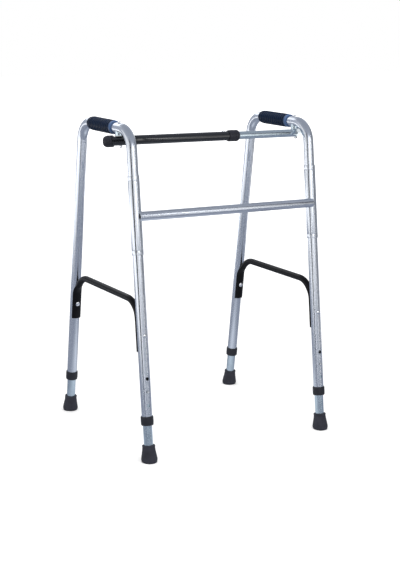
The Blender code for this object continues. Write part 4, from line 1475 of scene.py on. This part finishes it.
class WALKER_OT_inner_bar(bpy.types.Operator):
    """Bend the zinc plated half of the telescoping bar, with its plug"""

    bl_idname = "walker.inner_bar"
    bl_label = "Zinc bar"

    def execute(self, context):
        make_inner_bar(context)
        return {"FINISHED"}


class WALKER_OT_guide_plug(bpy.types.Operator):
    """Give the guide plug inside the bar its moulded plastic"""

    bl_idname = "walker.guide_plug"
    bl_label = "Guide plug"

    def execute(self, context):
        finish_guide_plug(context)
        return {"FINISHED"}


class WALKER_OT_saddles(bpy.types.Operator):
    """Form the saddle washers under the top runs"""

    bl_idname = "walker.saddles"
    bl_label = "Saddles"

    def execute(self, context):
        for side in SIDES:
            make_saddle(context, side)
        return {"FINISHED"}


class WALKER_OT_pivot_bolts(bpy.types.Operator):
    """Put in the bolts and nuts of the bar's pivots"""

    bl_idname = "walker.pivot_bolts"
    bl_label = "Pivot bolts"

    def execute(self, context):
        make_pivot_bolts(context)
        return {"FINISHED"}


class WALKER_OT_leg_buttons(bpy.types.Operator):
    """Put in the legs' sprung buttons"""

    bl_idname = "walker.leg_buttons"
    bl_label = "Leg buttons"

    def execute(self, context):
        for side, end in LEGS:
            make_leg_button(context, side, end)
        return {"FINISHED"}


class WALKER_OT_bar_button(bpy.types.Operator):
    """Put in the telescoping bar's sprung button"""

    bl_idname = "walker.bar_button"
    bl_label = "Bar button"

    def execute(self, context):
        make_bar_button(context)
        return {"FINISHED"}


class WALKER_OT_stage(bpy.types.Operator):
    """Set up the camera, floor, world, cards and lights"""

    bl_idname = "walker.stage"
    bl_label = "Stage"

    def execute(self, context):
        make_stage(context)
        return {"FINISHED"}


OPERATORS = (
    WALKER_OT_frame_tubes,
    WALKER_OT_stop_rings,
    WALKER_OT_grips,
    WALKER_OT_braces,
    WALKER_OT_brace_bolts,
    WALKER_OT_feet,
    WALKER_OT_leg_tubes,
    WALKER_OT_bushes,
    WALKER_OT_sleeves,
    WALKER_OT_crossbar,
    WALKER_OT_outer_bar,
    WALKER_OT_inner_bar,
    WALKER_OT_guide_plug,
    WALKER_OT_saddles,
    WALKER_OT_pivot_bolts,
    WALKER_OT_leg_buttons,
    WALKER_OT_bar_button,
    WALKER_OT_stage,
)


class WALKER_PT_pieces(bpy.types.Panel):
    """Lists the walker's pieces in the sidebar, with their sizes and colours."""

    bl_label = "Folding Walker"
    bl_idname = "WALKER_PT_pieces"
    bl_space_type = "VIEW_3D"
    bl_region_type = "UI"
    bl_category = "Walker"

    def draw(self, context):
        column = self.layout.column()
        for operator in OPERATORS:
            column.operator(operator.bl_idname)
        for settings in (context.scene.walker_sizes, context.scene.walker_colours):
            for name in settings.__annotations__:
                column.prop(settings, name)


CLASSES = (WalkerSizes, WalkerColours, *OPERATORS, WALKER_PT_pieces)


def register():
    for item in CLASSES:
        bpy.utils.register_class(item)
    bpy.types.Scene.walker_sizes = bpy.props.PointerProperty(type=WalkerSizes)
    bpy.types.Scene.walker_colours = bpy.props.PointerProperty(type=WalkerColours)


def unregister():
    del bpy.types.Scene.walker_colours
    del bpy.types.Scene.walker_sizes
    for item in reversed(CLASSES):
        bpy.utils.unregister_class(item)


def main():
    """Build every piece and the stage."""
    register()
    for operator in OPERATORS:
        getattr(bpy.ops.walker, operator.bl_idname.split(".")[1])()


if __name__ == "__main__":
    main()
